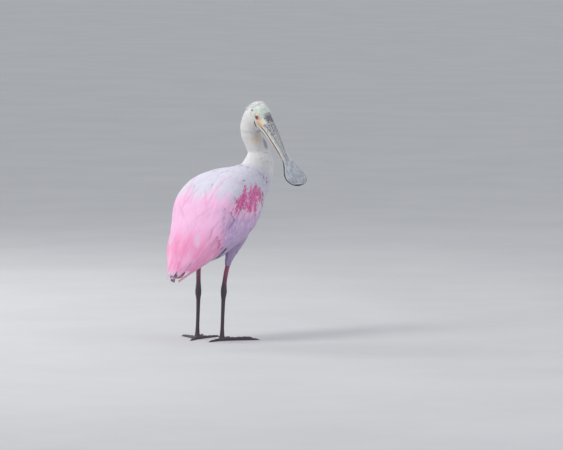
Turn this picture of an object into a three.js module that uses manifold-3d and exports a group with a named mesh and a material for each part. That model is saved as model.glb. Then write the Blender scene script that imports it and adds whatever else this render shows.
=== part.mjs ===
// A life-size roseate spoonbill at rest on both feet, looking back over its right side.
// Millimetres, +Z up. The bird's body faces -Y, and its right side is at -X.
// The origin is on the ground, under the middle of the whole bird.
import * as THREE from "three";
import { mergeVertices } from "three/addons/utils/BufferGeometryUtils.js";
import Module from "manifold-3d";

const wasm = await Module();
wasm.setup();

// Driving dimensions of the bird.
const HOCK_HEIGHT = 98;
const ANKLE_HEIGHT = 9;
const THIGH_END = 153;
const HEAD_TURN_DEG = 107;
const SKULL_PITCH_DEG = 33;
const BILL_PITCH_DEG = 53.5;
const BILL_LENGTH = 180;
const SPOON_HALF_WIDTH = 27.5;
const EYE_RADIUS = 7.2;
const EYE_SIDE = 12.4;
const MIDDLE_TOE = 78;
const HIND_TOE = 38;

// Clearance between neighbouring pieces.
const GAP = 0.3;

// Points round a ring of the body, the neck and the head.
const BODY_SIDES = 24;

const vec = (x, y, z) => new THREE.Vector3(x, y, z);
const rad = THREE.MathUtils.degToRad;
const mix = THREE.MathUtils.lerp;
const UP = vec(0, 0, 1);
const LEFT = vec(1, 0, 0);

// Solids and booleans

function signedVolume(points, faces) {
  let six = 0;
  for (let i = 0; i < faces.length; i += 3) {
    const [a, b, c] = [points[faces[i]], points[faces[i + 1]], points[faces[i + 2]]];
    six += a.dot(b.clone().cross(c));
  }
  return six / 6;
}

// A closed mesh from points and triangles, with every face turned outward.
function geometryOf(points, faces) {
  if (signedVolume(points, faces) < 0) faces.reverse();
  const flat = new Float32Array(points.flatMap((p) => [p.x, p.y, p.z]));
  const geometry = new THREE.BufferGeometry();
  geometry.setAttribute("position", new THREE.BufferAttribute(flat, 3));
  geometry.setIndex(faces);
  return geometry;
}

function solidOf(geometry) {
  const bare = geometry.clone();
  bare.deleteAttribute("normal");
  bare.deleteAttribute("uv");
  const merged = mergeVertices(bare, 1e-4);
  const vertProperties = new Float32Array(merged.attributes.position.array);
  const triVerts = new Uint32Array(merged.index.array);
  return new wasm.Manifold(new wasm.Mesh({ numProp: 3, vertProperties, triVerts }));
}

// The largest closed surface of a solid, as a geometry.
function largestOf(solid) {
  const bodies = solid.decompose().sort((a, b) => b.volume() - a.volume());
  const mesh = bodies[0].getMesh();
  const points = [];
  for (let i = 0; i < mesh.numVert; i++) {
    const at = i * mesh.numProp;
    points.push(vec(...mesh.vertProperties.subarray(at, at + 3)));
  }
  return geometryOf(points, Array.from(mesh.triVerts));
}

// A closed skin over rings with equal counts of points, with a fan over each end. Each panel
// between two rings is split along its shorter diagonal.
function skinOver(rings) {
  const sides = rings[0].length;
  const points = rings.flat();
  const faces = [];
  for (let r = 0; r + 1 < rings.length; r++) {
    for (let s = 0; s < sides; s++) {
      const a = r * sides + s;
      const b = r * sides + ((s + 1) % sides);
      const [c, d] = [a + sides, b + sides];
      const leaning = points[a].distanceTo(points[d]) > points[b].distanceTo(points[c]);
      if (leaning) faces.push(a, b, c, b, d, c);
      else faces.push(a, b, d, a, d, c);
    }
  }
  for (const [first, flip] of [[0, true], [(rings.length - 1) * sides, false]]) {
    const centre = points.length;
    const middle = vec(0, 0, 0);
    for (let s = 0; s < sides; s++) middle.add(points[first + s]);
    points.push(middle.divideScalar(sides));
    for (let s = 0; s < sides; s++) {
      const a = first + s;
      const b = first + ((s + 1) % sides);
      faces.push(...(flip ? [centre, b, a] : [centre, a, b]));
    }
  }
  return geometryOf(points, faces);
}

// Smooth interpolation of any numbers or vectors that belong to a row of stations.
function along(stations, t, read) {
  const last = stations.length - 1;
  const at = Math.min(Math.max(t, 0), 1) * last;
  const i = Math.min(Math.floor(at), last - 1);
  const f = at - i;
  const pick = (k) => read(stations[Math.min(Math.max(k, 0), last)]);
  const spline = (a, b, c, d) =>
    0.5 * (2 * b + (c - a) * f + (2 * a - 5 * b + 4 * c - d) * f * f + (3 * b - a - 3 * c + d) * f ** 3);
  const [a, b, c, d] = [pick(i - 1), pick(i), pick(i + 1), pick(i + 2)];
  if (typeof b === "number") return spline(a, b, c, d);
  return vec(spline(a.x, b.x, c.x, d.x), spline(a.y, b.y, c.y, d.y), spline(a.z, b.z, c.z, d.z));
}

// The body, neck and head as one row of stations

// A station is a ring: its centre, a half vector to the back and a half vector to the left side.
function bodyStation(back, belly, halfWidth) {
  const top = vec(0, back[0], back[1]);
  const bottom = vec(0, belly[0], belly[1]);
  return {
    centre: top.clone().add(bottom).multiplyScalar(0.5),
    up: top.clone().sub(bottom).multiplyScalar(0.5),
    side: LEFT.clone().multiplyScalar(halfWidth),
  };
}

function headingAt(turnDeg) {
  return vec(-Math.sin(rad(turnDeg)), -Math.cos(rad(turnDeg)), 0);
}

function neckStation(centre, tilt, turnDeg, radius) {
  const forward = headingAt(turnDeg);
  const side = UP.clone().cross(forward);
  const back = forward.clone().multiplyScalar(-1);
  back.applyAxisAngle(side, rad(tilt));
  return {
    centre: vec(...centre),
    up: back.multiplyScalar(radius),
    side: side.multiplyScalar(radius * 0.97),
  };
}

const HEAD_CENTRE = vec(-26, -152, 453);
const HEAD_FORWARD = headingAt(HEAD_TURN_DEG);
const HEAD_LEFT = UP.clone().cross(HEAD_FORWARD);
const SKULL_AHEAD = HEAD_FORWARD.clone().applyAxisAngle(HEAD_LEFT, rad(SKULL_PITCH_DEG));
const SKULL_UP = UP.clone().applyAxisAngle(HEAD_LEFT, rad(SKULL_PITCH_DEG));

// A point of the head from its distances ahead of, above and left of the middle between the eyes.
function skullPoint(ahead, above, left = 0) {
  return HEAD_CENTRE.clone()
    .addScaledVector(SKULL_AHEAD, ahead)
    .addScaledVector(SKULL_UP, above)
    .addScaledVector(HEAD_LEFT, left);
}

function headStation(crown, chin, halfWidth) {
  const top = skullPoint(...crown);
  const bottom = skullPoint(...chin);
  return {
    centre: top.clone().add(bottom).multiplyScalar(0.5),
    up: top.clone().sub(bottom).multiplyScalar(0.5),
    side: HEAD_LEFT.clone().multiplyScalar(halfWidth),
  };
}

// Back line and belly line of the trunk, from the root of the tail to the root of the neck.
const TORSO = [
  bodyStation([112, 176], [90, 150], 20),
  bodyStation([92, 214], [46, 160], 42),
  bodyStation([66, 254], [-5, 166], 56),
  bodyStation([32, 294], [-54, 187], 64),
  bodyStation([-8, 325], [-101, 216], 66),
  bodyStation([-52, 342], [-136, 247], 54),
  bodyStation([-86, 349], [-165, 273], 43),
  bodyStation([-110, 352], [-190, 299], 36),
];
const NECK = [
  bodyStation([-128, 357], [-203, 325], 31),
  bodyStation([-142, 368], [-210, 348], 28),
  neckStation([3, -180, 374], 6, 14, 25),
  neckStation([7, -173, 394], -8, 40, 22.5),
  neckStation([12, -166, 412], -8, 72, 21.5),
];
// Crown line and throat line of the head, from the nape to the edge of the bill.
const HEAD = [
  headStation([-37, -58], [2, -37], 21.5),
  headStation([-46, -41], [3, -35], 21.5),
  headStation([-48, -22], [4, -33], 21),
  headStation([-42, -2], [5, -31], 20.5),
  headStation([-30, 13], [6, -29.5], 20.5),
  headStation([-16, 21.5], [6.8, -28], 19.4),
  headStation([-3, 22.5], [7.4, -26.5], 18.2),
  headStation([6.5, 18.5], [8, -24.5], 17.4),
  headStation([13.9, 12.6], [8.3, -21.8], 16.6),
];
const SPINE = [...TORSO, ...NECK, ...HEAD];

// Places on the spine, counted in stations.
const NECK_ROOT = 8;
const NECK_MIDDLE = 10.4;
const NECK_TOP = 13;
const FACE_EDGE = SPINE.length - 1;

function stationAt(stations, place, grow = 0) {
  const t = place / (stations.length - 1);
  const up = along(stations, t, (s) => s.up);
  const side = along(stations, t, (s) => s.side);
  return {
    centre: along(stations, t, (s) => s.centre),
    up: up.setLength(up.length() + grow),
    side: side.setLength(side.length() + grow),
  };
}

// A point of a ring, from its angle round from the back. A bulge of 2 is round, more is squarer.
function ringPoint(station, angle, bulge = 2) {
  const [c, s] = [Math.cos(angle), Math.sin(angle)];
  const reach = (Math.abs(c) ** bulge + Math.abs(s) ** bulge) ** (-1 / bulge);
  return station.centre
    .clone()
    .addScaledVector(station.up, c * reach)
    .addScaledVector(station.side, s * reach);
}

function facing(station) {
  return station.side.clone().cross(station.up).normalize();
}

// The flesh between two places on the spine, pulled back from its neighbours by half the gap.
function flesh(from, to, rings, grow = 0) {
  const rows = [];
  for (let r = 0; r < rings; r++) {
    const station = stationAt(SPINE, mix(from, to, r / (rings - 1)), grow);
    const shift = r === 0 ? GAP / 2 : r === rings - 1 ? -GAP / 2 : 0;
    station.centre.addScaledVector(facing(station), shift);
    const ring = [];
    for (let s = 0; s < BODY_SIDES; s++) {
      ring.push(ringPoint(station, (s / BODY_SIDES) * 2 * Math.PI));
    }
    rows.push(ring);
  }
  return skinOver(rows);
}

// A tube of few sides along a row of points, with a width and a height at each point.
function tube(points, widths, heights, across, sides = 8) {
  const rows = points.map((point, i) => {
    const next = points[Math.min(i + 1, points.length - 1)];
    const last = points[Math.max(i - 1, 0)];
    const ahead = next.clone().sub(last).normalize();
    const side = across.clone().addScaledVector(ahead, -across.dot(ahead)).normalize();
    const up = ahead.clone().cross(side);
    const ring = [];
    for (let s = 0; s < sides; s++) {
      const angle = ((s + 0.5) / sides) * 2 * Math.PI;
      ring.push(
        point
          .clone()
          .addScaledVector(side, widths[i] * Math.cos(angle))
          .addScaledVector(up, heights[i] * Math.sin(angle)),
      );
    }
    return ring;
  });
  return skinOver(rows);
}

// The head: eyes, lids, ears and the crease behind the mouth

const SIDES = [
  { name: "right", sign: -1 },
  { name: "left", sign: 1 },
];
// The lids and the ear openings are rings that lie in the skin.
const LIDS = { ahead: -0.3, above: 0, side: 17.7, radius: 5.3, rim: 0.95, tilt: 5, sides: 15 };
const EAR = { ahead: -20.4, above: 2.4, side: 18.4, radius: 2.6, rim: 0.9, tilt: 3, sides: 8 };
const EAR_DEPTH = 2.2;

function placeOnHead(geometry, centre) {
  const frame = new THREE.Matrix4().makeBasis(SKULL_AHEAD, HEAD_LEFT, SKULL_UP);
  return geometry.applyMatrix4(frame).translate(centre.x, centre.y, centre.z);
}

// A ring of raised skin that faces sideways and a little forward.
function rimOnHead(opening, sign) {
  const rim = new THREE.TorusGeometry(opening.radius, opening.rim, 5, opening.sides);
  rim.rotateX(Math.PI / 2);
  rim.scale(1.05, 1, 1);
  rim.rotateZ(-sign * rad(opening.tilt));
  return placeOnHead(rim, skullPoint(opening.ahead, opening.above, sign * opening.side));
}

function eyeBall(sign, grow = 0) {
  const ball = new THREE.IcosahedronGeometry(EYE_RADIUS + grow, 2);
  return placeOnHead(ball, skullPoint(0, 0, sign * EYE_SIDE));
}

function earPit(sign) {
  const pit = new THREE.IcosahedronGeometry(1, 1);
  pit.scale(EAR.radius, EAR_DEPTH, EAR.radius);
  return placeOnHead(pit, skullPoint(EAR.ahead, EAR.above, sign * (EAR.side + 0.5)));
}

// The crease along the lower edge of the bare jaw, behind the corner of the mouth.
function jawCrease(sign) {
  const places = [19.1, 19.7, 20.3, 20.8];
  const angles = [108, 111, 114, 117];
  const points = places.map((place, i) =>
    ringPoint(stationAt(SPINE, place), sign * rad(angles[i])),
  );
  const widths = [0.4, 0.9, 1, 0.9];
  return tube(points, widths, widths, HEAD_LEFT, 6);
}

// A small ragged crest: place along the head, angle round it in degrees, length and lift.
const CREST = [
  [19.0, -26, 13, 2.4],
  [19.2, 6, 15, 3.6],
  [19.0, 34, 13, 2.6],
  [18.4, -9, 17, 5],
  [18.3, 22, 15, 4.2],
  [17.5, -22, 16, 3],
  [17.5, 12, 17, 3.4],
];
const CREST_WIDTH = 8.5;

function crestTuft([place, angle, length, high]) {
  const root = { place, angle: rad(angle) };
  const feather = { length, width: CREST_WIDTH, heading: 0, bend: 0, low: -2.4, high, tilt: 0.5, point: 0.9 };
  return vane(CROWN_SURFACE, root, feather);
}

function makeHead() {
  let head = solidOf(flesh(NECK_TOP, FACE_EDGE, 15));
  for (const tuft of CREST) head = head.add(crestTuft(tuft));
  for (const { sign } of SIDES) {
    head = head.add(solidOf(rimOnHead(LIDS, sign))).add(solidOf(rimOnHead(EAR, sign)));
  }
  for (const { sign } of SIDES) {
    head = head.subtract(solidOf(eyeBall(sign, GAP)));
    head = head.subtract(solidOf(earPit(sign)));
    head = head.subtract(solidOf(jawCrease(sign)));
  }
  return largestOf(head);
}

// The bill: an upper and a lower mandible that meet along the line of the mouth

const BILL_AHEAD = HEAD_FORWARD.clone().applyAxisAngle(HEAD_LEFT, rad(BILL_PITCH_DEG));
const BILL_UP = UP.clone().applyAxisAngle(HEAD_LEFT, rad(BILL_PITCH_DEG));

function billPoint(ahead, above, left) {
  return HEAD_CENTRE.clone()
    .addScaledVector(BILL_AHEAD, ahead)
    .addScaledVector(BILL_UP, above)
    .addScaledVector(HEAD_LEFT, left);
}

// The edge of the face, as distances ahead of and above the middle between the eyes.
const faceStation = HEAD[HEAD.length - 1];
const inBill = (point) => {
  const away = point.clone().sub(HEAD_CENTRE);
  return { ahead: away.dot(BILL_AHEAD), above: away.dot(BILL_UP) };
};
const faceTop = inBill(faceStation.centre.clone().add(faceStation.up));
const faceBottom = inBill(faceStation.centre.clone().sub(faceStation.up));
const BASE_LEAN = (faceBottom.ahead - faceTop.ahead) / (faceTop.above - faceBottom.above);
const BASE_REACH = 32;

// Distance along the bill, top, line of the mouth, bottom and half width.
const BILL = [
  { at: faceTop.ahead, top: faceTop.above, mouth: -6, bottom: faceBottom.above, half: 16.4 },
  { at: 20, top: 16.8, mouth: -2.6, bottom: -16, half: 16 },
  { at: 32, top: 16.3, mouth: 0.8, bottom: -13.5, half: 15.2 },
  { at: 41, top: 16, mouth: 2.8, bottom: -11.2, half: 14.5 },
  { at: 50, top: 15.6, mouth: 4.1, bottom: -8.3, half: 13.8 },
  { at: 60, top: 15.2, mouth: 5.2, bottom: -4.8, half: 13 },
  { at: 70, top: 14.9, mouth: 6.6, bottom: -1, half: 12.3 },
  { at: 85, top: 14.5, mouth: 8.6, bottom: 3.8, half: 11.5 },
  { at: 99, top: 14.4, mouth: 10.2, bottom: 6.6, half: 11.1 },
  { at: 113, top: 14.8, mouth: 11.4, bottom: 8.2, half: 11.8 },
  { at: 125, top: 15.6, mouth: 12.6, bottom: 9.7, half: 14.2 },
  { at: 136.5, top: 16.5, mouth: 13.8, bottom: 11.1, half: 18.6 },
  { at: 146, top: 17.2, mouth: 14.6, bottom: 12.1, half: 23 },
  { at: 154.5, top: 17.5, mouth: 15, bottom: 12.6, half: 26.6 },
  { at: 162, top: 17.3, mouth: 14.9, bottom: 12.6, half: SPOON_HALF_WIDTH },
  { at: 169, top: 16.8, mouth: 14.5, bottom: 12.3, half: 25.6 },
  { at: 174.5, top: 16.1, mouth: 14, bottom: 12, half: 20.6 },
  { at: 178, top: 15.4, mouth: 13.5, bottom: 11.7, half: 14 },
  { at: BILL_LENGTH, top: 14.6, mouth: 13.2, bottom: 11.8, half: 7 },
];

// A mandible is round on its outer face and flat where it meets the other one.
function mandible(upper) {
  const arc = 9;
  const flat = 3;
  const rows = BILL.map((s, row) => {
    const inner = s.mouth + (upper ? GAP / 2 : -GAP / 2);
    const outer = upper ? s.top : s.bottom;
    const half = upper ? s.half : s.half * 0.94;
    const lean = Math.max(0, 1 - (s.at - BILL[0].at) / BASE_REACH) * BASE_LEAN;
    const clear = row === 0 ? GAP : 0;
    const place = (left, above) =>
      billPoint(s.at + clear + lean * (BILL[0].top - above), above, left);
    const ring = [];
    for (let i = 0; i < arc; i++) {
      const angle = (i / (arc - 1)) * Math.PI;
      ring.push(place(half * Math.cos(angle), mix(inner, outer, Math.sin(angle) ** 0.8)));
    }
    for (let i = 1; i <= flat; i++) {
      ring.push(place(mix(-half, half, i / (flat + 1)), inner));
    }
    return ring;
  });
  return skinOver(rows);
}

function nostril(sign) {
  const slit = new THREE.IcosahedronGeometry(1, 1);
  slit.scale(4.2, 1.1, 2.2);
  const frame = new THREE.Matrix4().makeBasis(BILL_AHEAD, HEAD_LEFT, BILL_UP);
  const centre = billPoint(25, 15.2, sign * 6);
  return slit.applyMatrix4(frame).translate(centre.x, centre.y, centre.z);
}

function makeUpperBill() {
  let bill = solidOf(mandible(true));
  for (const { sign } of SIDES) bill = bill.subtract(solidOf(nostril(sign)));
  return largestOf(bill);
}

// Legs, from the feathered thigh to the hock, the ankle and the foot

// Levels of a leg: height, distance outward and forward of the origin, half width, half depth.
const LEGS = [
  {
    ...SIDES[0],
    toesOut: 12,
    thigh: [
      [234, 36, 40, 9, 14],
      [217, 40, 44, 15, 27],
      [200, 38.5, 35, 14.5, 25],
      [178, 36.6, 23, 9.5, 14],
      [165, 36, 16, 6.8, 9],
      [THIGH_END, 36, 11.5, 5.4, 5.8],
    ],
    shank: [
      [THIGH_END, 36, 11.5, 4.7, 4.9],
      [138, 36, 5.6, 4.5, 4.9],
      [120, 35.8, 0.8, 4.5, 5],
      [109, 35.6, -0.9, 5.6, 6.2],
      [HOCK_HEIGHT + 3, 35.5, -0.9, 6.1, 6.8],
    ],
    tarsus: [
      [HOCK_HEIGHT + 3, 35.5, -0.9, 6.1, 6.8],
      [94, 35.2, -1.4, 5.4, 6.2],
      [84, 34.6, -1.6, 4, 4.8],
      [60, 33.4, -1.6, 3.5, 4.2],
      [30, 32, -1.5, 3.5, 4.2],
      [14, 31.3, -1.4, 4.3, 5],
      [ANKLE_HEIGHT, 31, -1.4, 4.9, 5.6],
    ],
  },
  {
    ...SIDES[1],
    toesOut: 30,
    thigh: [
      [234, 40, 36, 9, 14],
      [217, 44, 41, 15, 28],
      [200, 43, 34, 14.5, 26],
      [178, 40.5, 24, 9.5, 14],
      [165, 39, 18.5, 6.6, 8.5],
      [THIGH_END, 37.8, 13.5, 5.4, 5.6],
    ],
    shank: [
      [THIGH_END, 37.8, 13.5, 4.7, 4.9],
      [138, 35.8, 9, 4.5, 4.9],
      [118, 32.6, 4.5, 4.5, 5],
      [106, 30.6, 1.4, 5.6, 6.2],
      [HOCK_HEIGHT - 1, 29.4, -0.4, 6.1, 6.8],
    ],
    tarsus: [
      [HOCK_HEIGHT - 1, 29.4, -0.4, 6.1, 6.8],
      [91, 29.3, -0.6, 5.4, 6.2],
      [81, 29.5, -0.3, 4, 4.8],
      [57, 30.6, 0.2, 3.5, 4.2],
      [29, 32, 0.6, 3.5, 4.2],
      [14, 32.8, 0.9, 4.3, 5],
      [ANKLE_HEIGHT, 33, 1, 4.9, 5.6],
    ],
  },
];
const LEG_SIDES = 14;

// A column of level rings, shortened by half the gap at each end.
function column(levels, sign) {
  const rows = levels.map(([height, outward, forward, wide, deep], i) => {
    const shift = i === 0 ? -GAP / 2 : i === levels.length - 1 ? GAP / 2 : 0;
    const ring = [];
    for (let s = 0; s < LEG_SIDES; s++) {
      const angle = (s / LEG_SIDES) * 2 * Math.PI;
      const x = sign * outward + wide * Math.cos(angle);
      ring.push(vec(x, -forward + deep * Math.sin(angle), height + shift));
    }
    return ring;
  });
  return skinOver(rows);
}

// Toes: angle from the way the foot points, length, and the claw's length.
const TOES = [
  { name: "inner", turn: -34, length: MIDDLE_TOE * 0.82, claw: 9 },
  { name: "middle", turn: -2, length: MIDDLE_TOE, claw: 11 },
  { name: "outer", turn: 30, length: MIDDLE_TOE * 0.9, claw: 9 },
  { name: "hind", turn: 168, length: HIND_TOE, claw: 9 },
];
const TOE_ROOT = 4;
const TOE_HALF_WIDTH = 3.7;
const TOE_HEIGHT = 6;
const WEB_HEIGHT = 1.6;

// The way a toe points. Turns to the outside of the foot are positive.
function toeHeading(leg, toe) {
  const turn = rad(leg.toesOut + toe.turn) * leg.sign;
  return vec(Math.sin(turn), -Math.cos(turn), 0);
}

function ankleOf(leg) {
  const [, outward, forward] = leg.tarsus[leg.tarsus.length - 1];
  return vec(leg.sign * outward, -forward, 0);
}

// A section of a toe, flat below and round above, standing on the ground.
function toeRing(centre, heading, half, height) {
  const across = UP.clone().cross(heading);
  const ring = [];
  const arc = 5;
  for (let i = 0; i < arc; i++) {
    const angle = (i / (arc - 1)) * Math.PI;
    const out = half * Math.cos(angle) * (Math.sin(angle) > 0.9 ? 1 : 1.02);
    const rise = height * (0.22 + 0.78 * Math.sin(angle));
    ring.push(centre.clone().addScaledVector(across, out).addScaledVector(UP, rise));
  }
  ring.push(centre.clone().addScaledVector(across, -half * 0.8));
  ring.push(centre.clone().addScaledVector(across, half * 0.8));
  return ring;
}

function toeSolid(leg, toe) {
  const heading = toeHeading(leg, toe);
  const joints = toe.name === "hind" ? [0.5] : [0.34, 0.6, 0.82];
  const rows = [];
  const steps = toe.name === "hind" ? 5 : 9;
  for (let i = 0; i <= steps; i++) {
    const t = i / steps;
    let swell = 0;
    for (const joint of joints) swell += Math.exp(-(((t - joint) / 0.07) ** 2));
    const size = mix(1, 0.62, t) * (1 + 0.2 * swell);
    const centre = ankleOf(leg).addScaledVector(heading, mix(TOE_ROOT, toe.length, t));
    rows.push(toeRing(centre, heading, TOE_HALF_WIDTH * size, TOE_HEIGHT * size));
  }
  return solidOf(skinOver(rows));
}

// A claw that leaves the end of its toe and curves down to the ground.
function clawGeometry(leg, toe) {
  const heading = toeHeading(leg, toe);
  const rows = [];
  const steps = 3;
  for (let i = 0; i <= steps; i++) {
    const t = i / steps;
    const half = mix(1.7, 0.25, t ** 1.3);
    const centre = ankleOf(leg).addScaledVector(heading, toe.length + GAP + toe.claw * t);
    centre.z = mix(0.5, 0.05, t);
    rows.push(toeRing(centre, heading, half, mix(3.6, 0.6, t ** 1.2)));
  }
  return skinOver(rows);
}

// The skin between two neighbouring toes, hollow along its free edge.
function webSolid(leg, first, second) {
  const [a, b] = [toeHeading(leg, first), toeHeading(leg, second)];
  const reach = MIDDLE_TOE * 0.3;
  const centre = ankleOf(leg);
  const shape = new THREE.Shape();
  shape.moveTo(0, 0);
  shape.lineTo(a.x * reach, a.y * reach);
  const middle = a.clone().add(b).normalize().multiplyScalar(reach * 0.72);
  shape.quadraticCurveTo(middle.x, middle.y, b.x * reach, b.y * reach);
  const web = new THREE.ExtrudeGeometry(shape, {
    depth: WEB_HEIGHT,
    bevelEnabled: false,
    curveSegments: 5,
  });
  return solidOf(web.translate(centre.x, centre.y, 0.4));
}

function footPad(leg) {
  const profile = [
    [0, 0],
    [8.2, 0],
    [9, 1.6],
    [8.2, 4],
    [6.2, 6.6],
    [5.4, ANKLE_HEIGHT - GAP / 2],
    [0, ANKLE_HEIGHT - GAP / 2],
  ].map(([r, z]) => new THREE.Vector2(r, z));
  const pad = new THREE.LatheGeometry(profile, 12).rotateX(Math.PI / 2);
  const centre = ankleOf(leg);
  return solidOf(pad.translate(centre.x, centre.y, 0));
}

function makeFoot(leg) {
  let foot = footPad(leg);
  for (const toe of TOES) foot = foot.add(toeSolid(leg, toe));
  foot = foot.add(webSolid(leg, TOES[0], TOES[1]));
  foot = foot.add(webSolid(leg, TOES[1], TOES[2]));
  return largestOf(foot);
}

// The folded wings, seen as one envelope that is boxy over the shoulders

const ENVELOPE = [
  bodyStation([140, 138], [112, 122], 13),
  bodyStation([116, 176], [84, 138], 33),
  bodyStation([94, 214], [50, 153], 55),
  bodyStation([68, 257], [0, 172], 70),
  bodyStation([38, 302], [-48, 196], 75),
  bodyStation([-2, 334], [-97, 220], 72),
  bodyStation([-48, 348], [-134, 248], 61),
  bodyStation([-85, 351], [-160, 275], 48),
  bodyStation([-108, 353], [-184, 300], 38),
];
const BULGE = [2, 2, 2, 2.1, 3.8, 3.6, 3, 2.4, 2];
// Where the wing starts and ends round the body at each of those stations, in degrees.
const WING_TOP = [10, 7, 5, 5, 7, 12, 20, 34, 52];
const WING_BOTTOM = [150, 140, 132, 124, 114, 104, 98, 94, 90];

// The depth of the coat of wing feathers, from the core of the wing out to the envelope.
const COAT = 3.4;

function envelopePoint(place, angle, sign, lift = 0) {
  const t = place / (ENVELOPE.length - 1);
  const bulge = along(BULGE, t, (v) => v);
  const eased = Math.abs(angle) > Math.PI / 2 ? mix(bulge, 2, 0.6) : bulge;
  return ringPoint(stationAt(ENVELOPE, place, lift - COAT), sign * Math.abs(angle), eased);
}

const WING_CORE_END = 1.3;
const WING_FRONT = ENVELOPE.length - 1;
const WING_DEPTH = 8.5;
const BAND_ROWS = 9;
const BAND_ARC = 8;

// A band of the envelope between the top and bottom edges of the wing, from its outer face to its
// inner face. The inner face lies deeper at the rear, where no body fills the space.
function wingBand(sign, outer, grow) {
  const places = [];
  for (let r = 0; r < BAND_ROWS; r++) places.push(mix(WING_CORE_END, WING_FRONT, r / (BAND_ROWS - 1)));
  if (grow > 0) places.unshift(WING_CORE_END - 0.4);
  else places[BAND_ROWS - 1] -= 0.03;
  const widen = grow * 3;
  const rows = places.map((place) => {
    const t = place / WING_FRONT;
    const top = rad(along(WING_TOP, t, (v) => v) - widen);
    const bottom = rad(along(WING_BOTTOM, t, (v) => v) + widen);
    const centre = stationAt(ENVELOPE, place).centre;
    const ring = [];
    for (let i = 0; i < BAND_ARC; i++) {
      ring.push(envelopePoint(place, mix(top, bottom, i / (BAND_ARC - 1)), sign, outer));
    }
    const sink = THREE.MathUtils.clamp((2.4 - place) / 1.2, 0, 1) * 0.5;
    for (const i of [0.97, 0.66, 0.33, 0.03]) {
      const point = envelopePoint(place, mix(top, bottom, i), sign, -WING_DEPTH - grow);
      point.lerp(centre, sink);
      point.x = sign * Math.max(Math.abs(point.x), 1.2);
      ring.push(point);
    }
    return ring;
  });
  return solidOf(skinOver(rows));
}

// A surface that feathers lie on has points by a place along it, an angle round it and a lift.
function wingSurface(sign) {
  return {
    pointAt: (place, angle, lift = 0) => envelopePoint(place, angle, sign, lift),
    middleAt: (place) => stationAt(ENVELOPE, place).centre,
    places: [0.02, ENVELOPE.length - 1],
    angles: [0.03, 3.1],
  };
}

const CROWN_SURFACE = {
  pointAt: (place, angle, lift = 0) => ringPoint(stationAt(SPINE, place, lift), angle),
  middleAt: (place) => stationAt(SPINE, place).centre,
  places: [NECK_TOP, FACE_EDGE],
  angles: [-1.5, 1.5],
};

function surfaceAt(surface, at) {
  const step = 0.02;
  const point = surface.pointAt(at.place, at.angle);
  const rear = surface
    .pointAt(at.place - step, at.angle)
    .sub(surface.pointAt(at.place + step, at.angle));
  const round = surface
    .pointAt(at.place, at.angle + step)
    .sub(surface.pointAt(at.place, at.angle - step));
  rear.multiplyScalar(0.5 / step);
  round.multiplyScalar(0.5 / step);
  const out = rear.clone().cross(round).normalize();
  if (out.dot(point.clone().sub(surface.middleAt(at.place))) < 0) out.negate();
  return { point, rear, round, out };
}

// A short walk over a surface. A heading of 0 leads to the rear, and 90 degrees leads round it.
function walk(surface, at, heading, distance) {
  const { rear, round, out } = surfaceAt(surface, at);
  const ahead = rear.clone().normalize();
  const down = out.clone().cross(ahead).normalize();
  if (down.dot(round) < 0) down.negate();
  const aim = ahead.multiplyScalar(Math.cos(heading)).addScaledVector(down, Math.sin(heading));
  aim.multiplyScalar(distance);
  const [rr, rc, cc] = [rear.dot(rear), rear.dot(round), round.dot(round)];
  const [ra, ca] = [rear.dot(aim), round.dot(aim)];
  const area = rr * cc - rc * rc;
  const place = at.place - (ra * cc - ca * rc) / area;
  const angle = at.angle + (ca * rr - ra * rc) / area;
  return {
    place: THREE.MathUtils.clamp(place, ...surface.places),
    angle: THREE.MathUtils.clamp(angle, ...surface.angles),
  };
}

// How wide a vane is along its length, as a share of its full width.
function vaneWidth(t, point) {
  const body = 0.35 + 0.65 * Math.sin(Math.min(t / 0.6, 1) * Math.PI * 0.5);
  const tip = t < 0.72 ? 1 : Math.cos(((t - 0.72) / 0.28) * Math.PI * 0.5) ** point;
  return Math.max(body * tip, 0.1);
}

// Heights over the surface: at the root, where a vane leaves the core, and at its tip.
const VANE_ROOT_LIFT = -3.6;
const VANE_EXIT_LIFT = 0.5;
const VANE_TIP_LIFT = 3.4;
const VANE_EXIT = 0.14;
const VANE_THICKNESS = 0.6;
const VANE_TIP_THICKNESS = 0.45;
const SHORT_VANE_STEPS = [0, VANE_EXIT, 0.5, 0.85, 1];
const VANE_STEPS = [0, VANE_EXIT, 0.45, 0.78, 0.93, 1];
const LONG_VANE_STEPS = [0, VANE_EXIT, 0.33, 0.55, 0.78, 0.93, 1];
const CORE_LIFT = -1;

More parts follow.
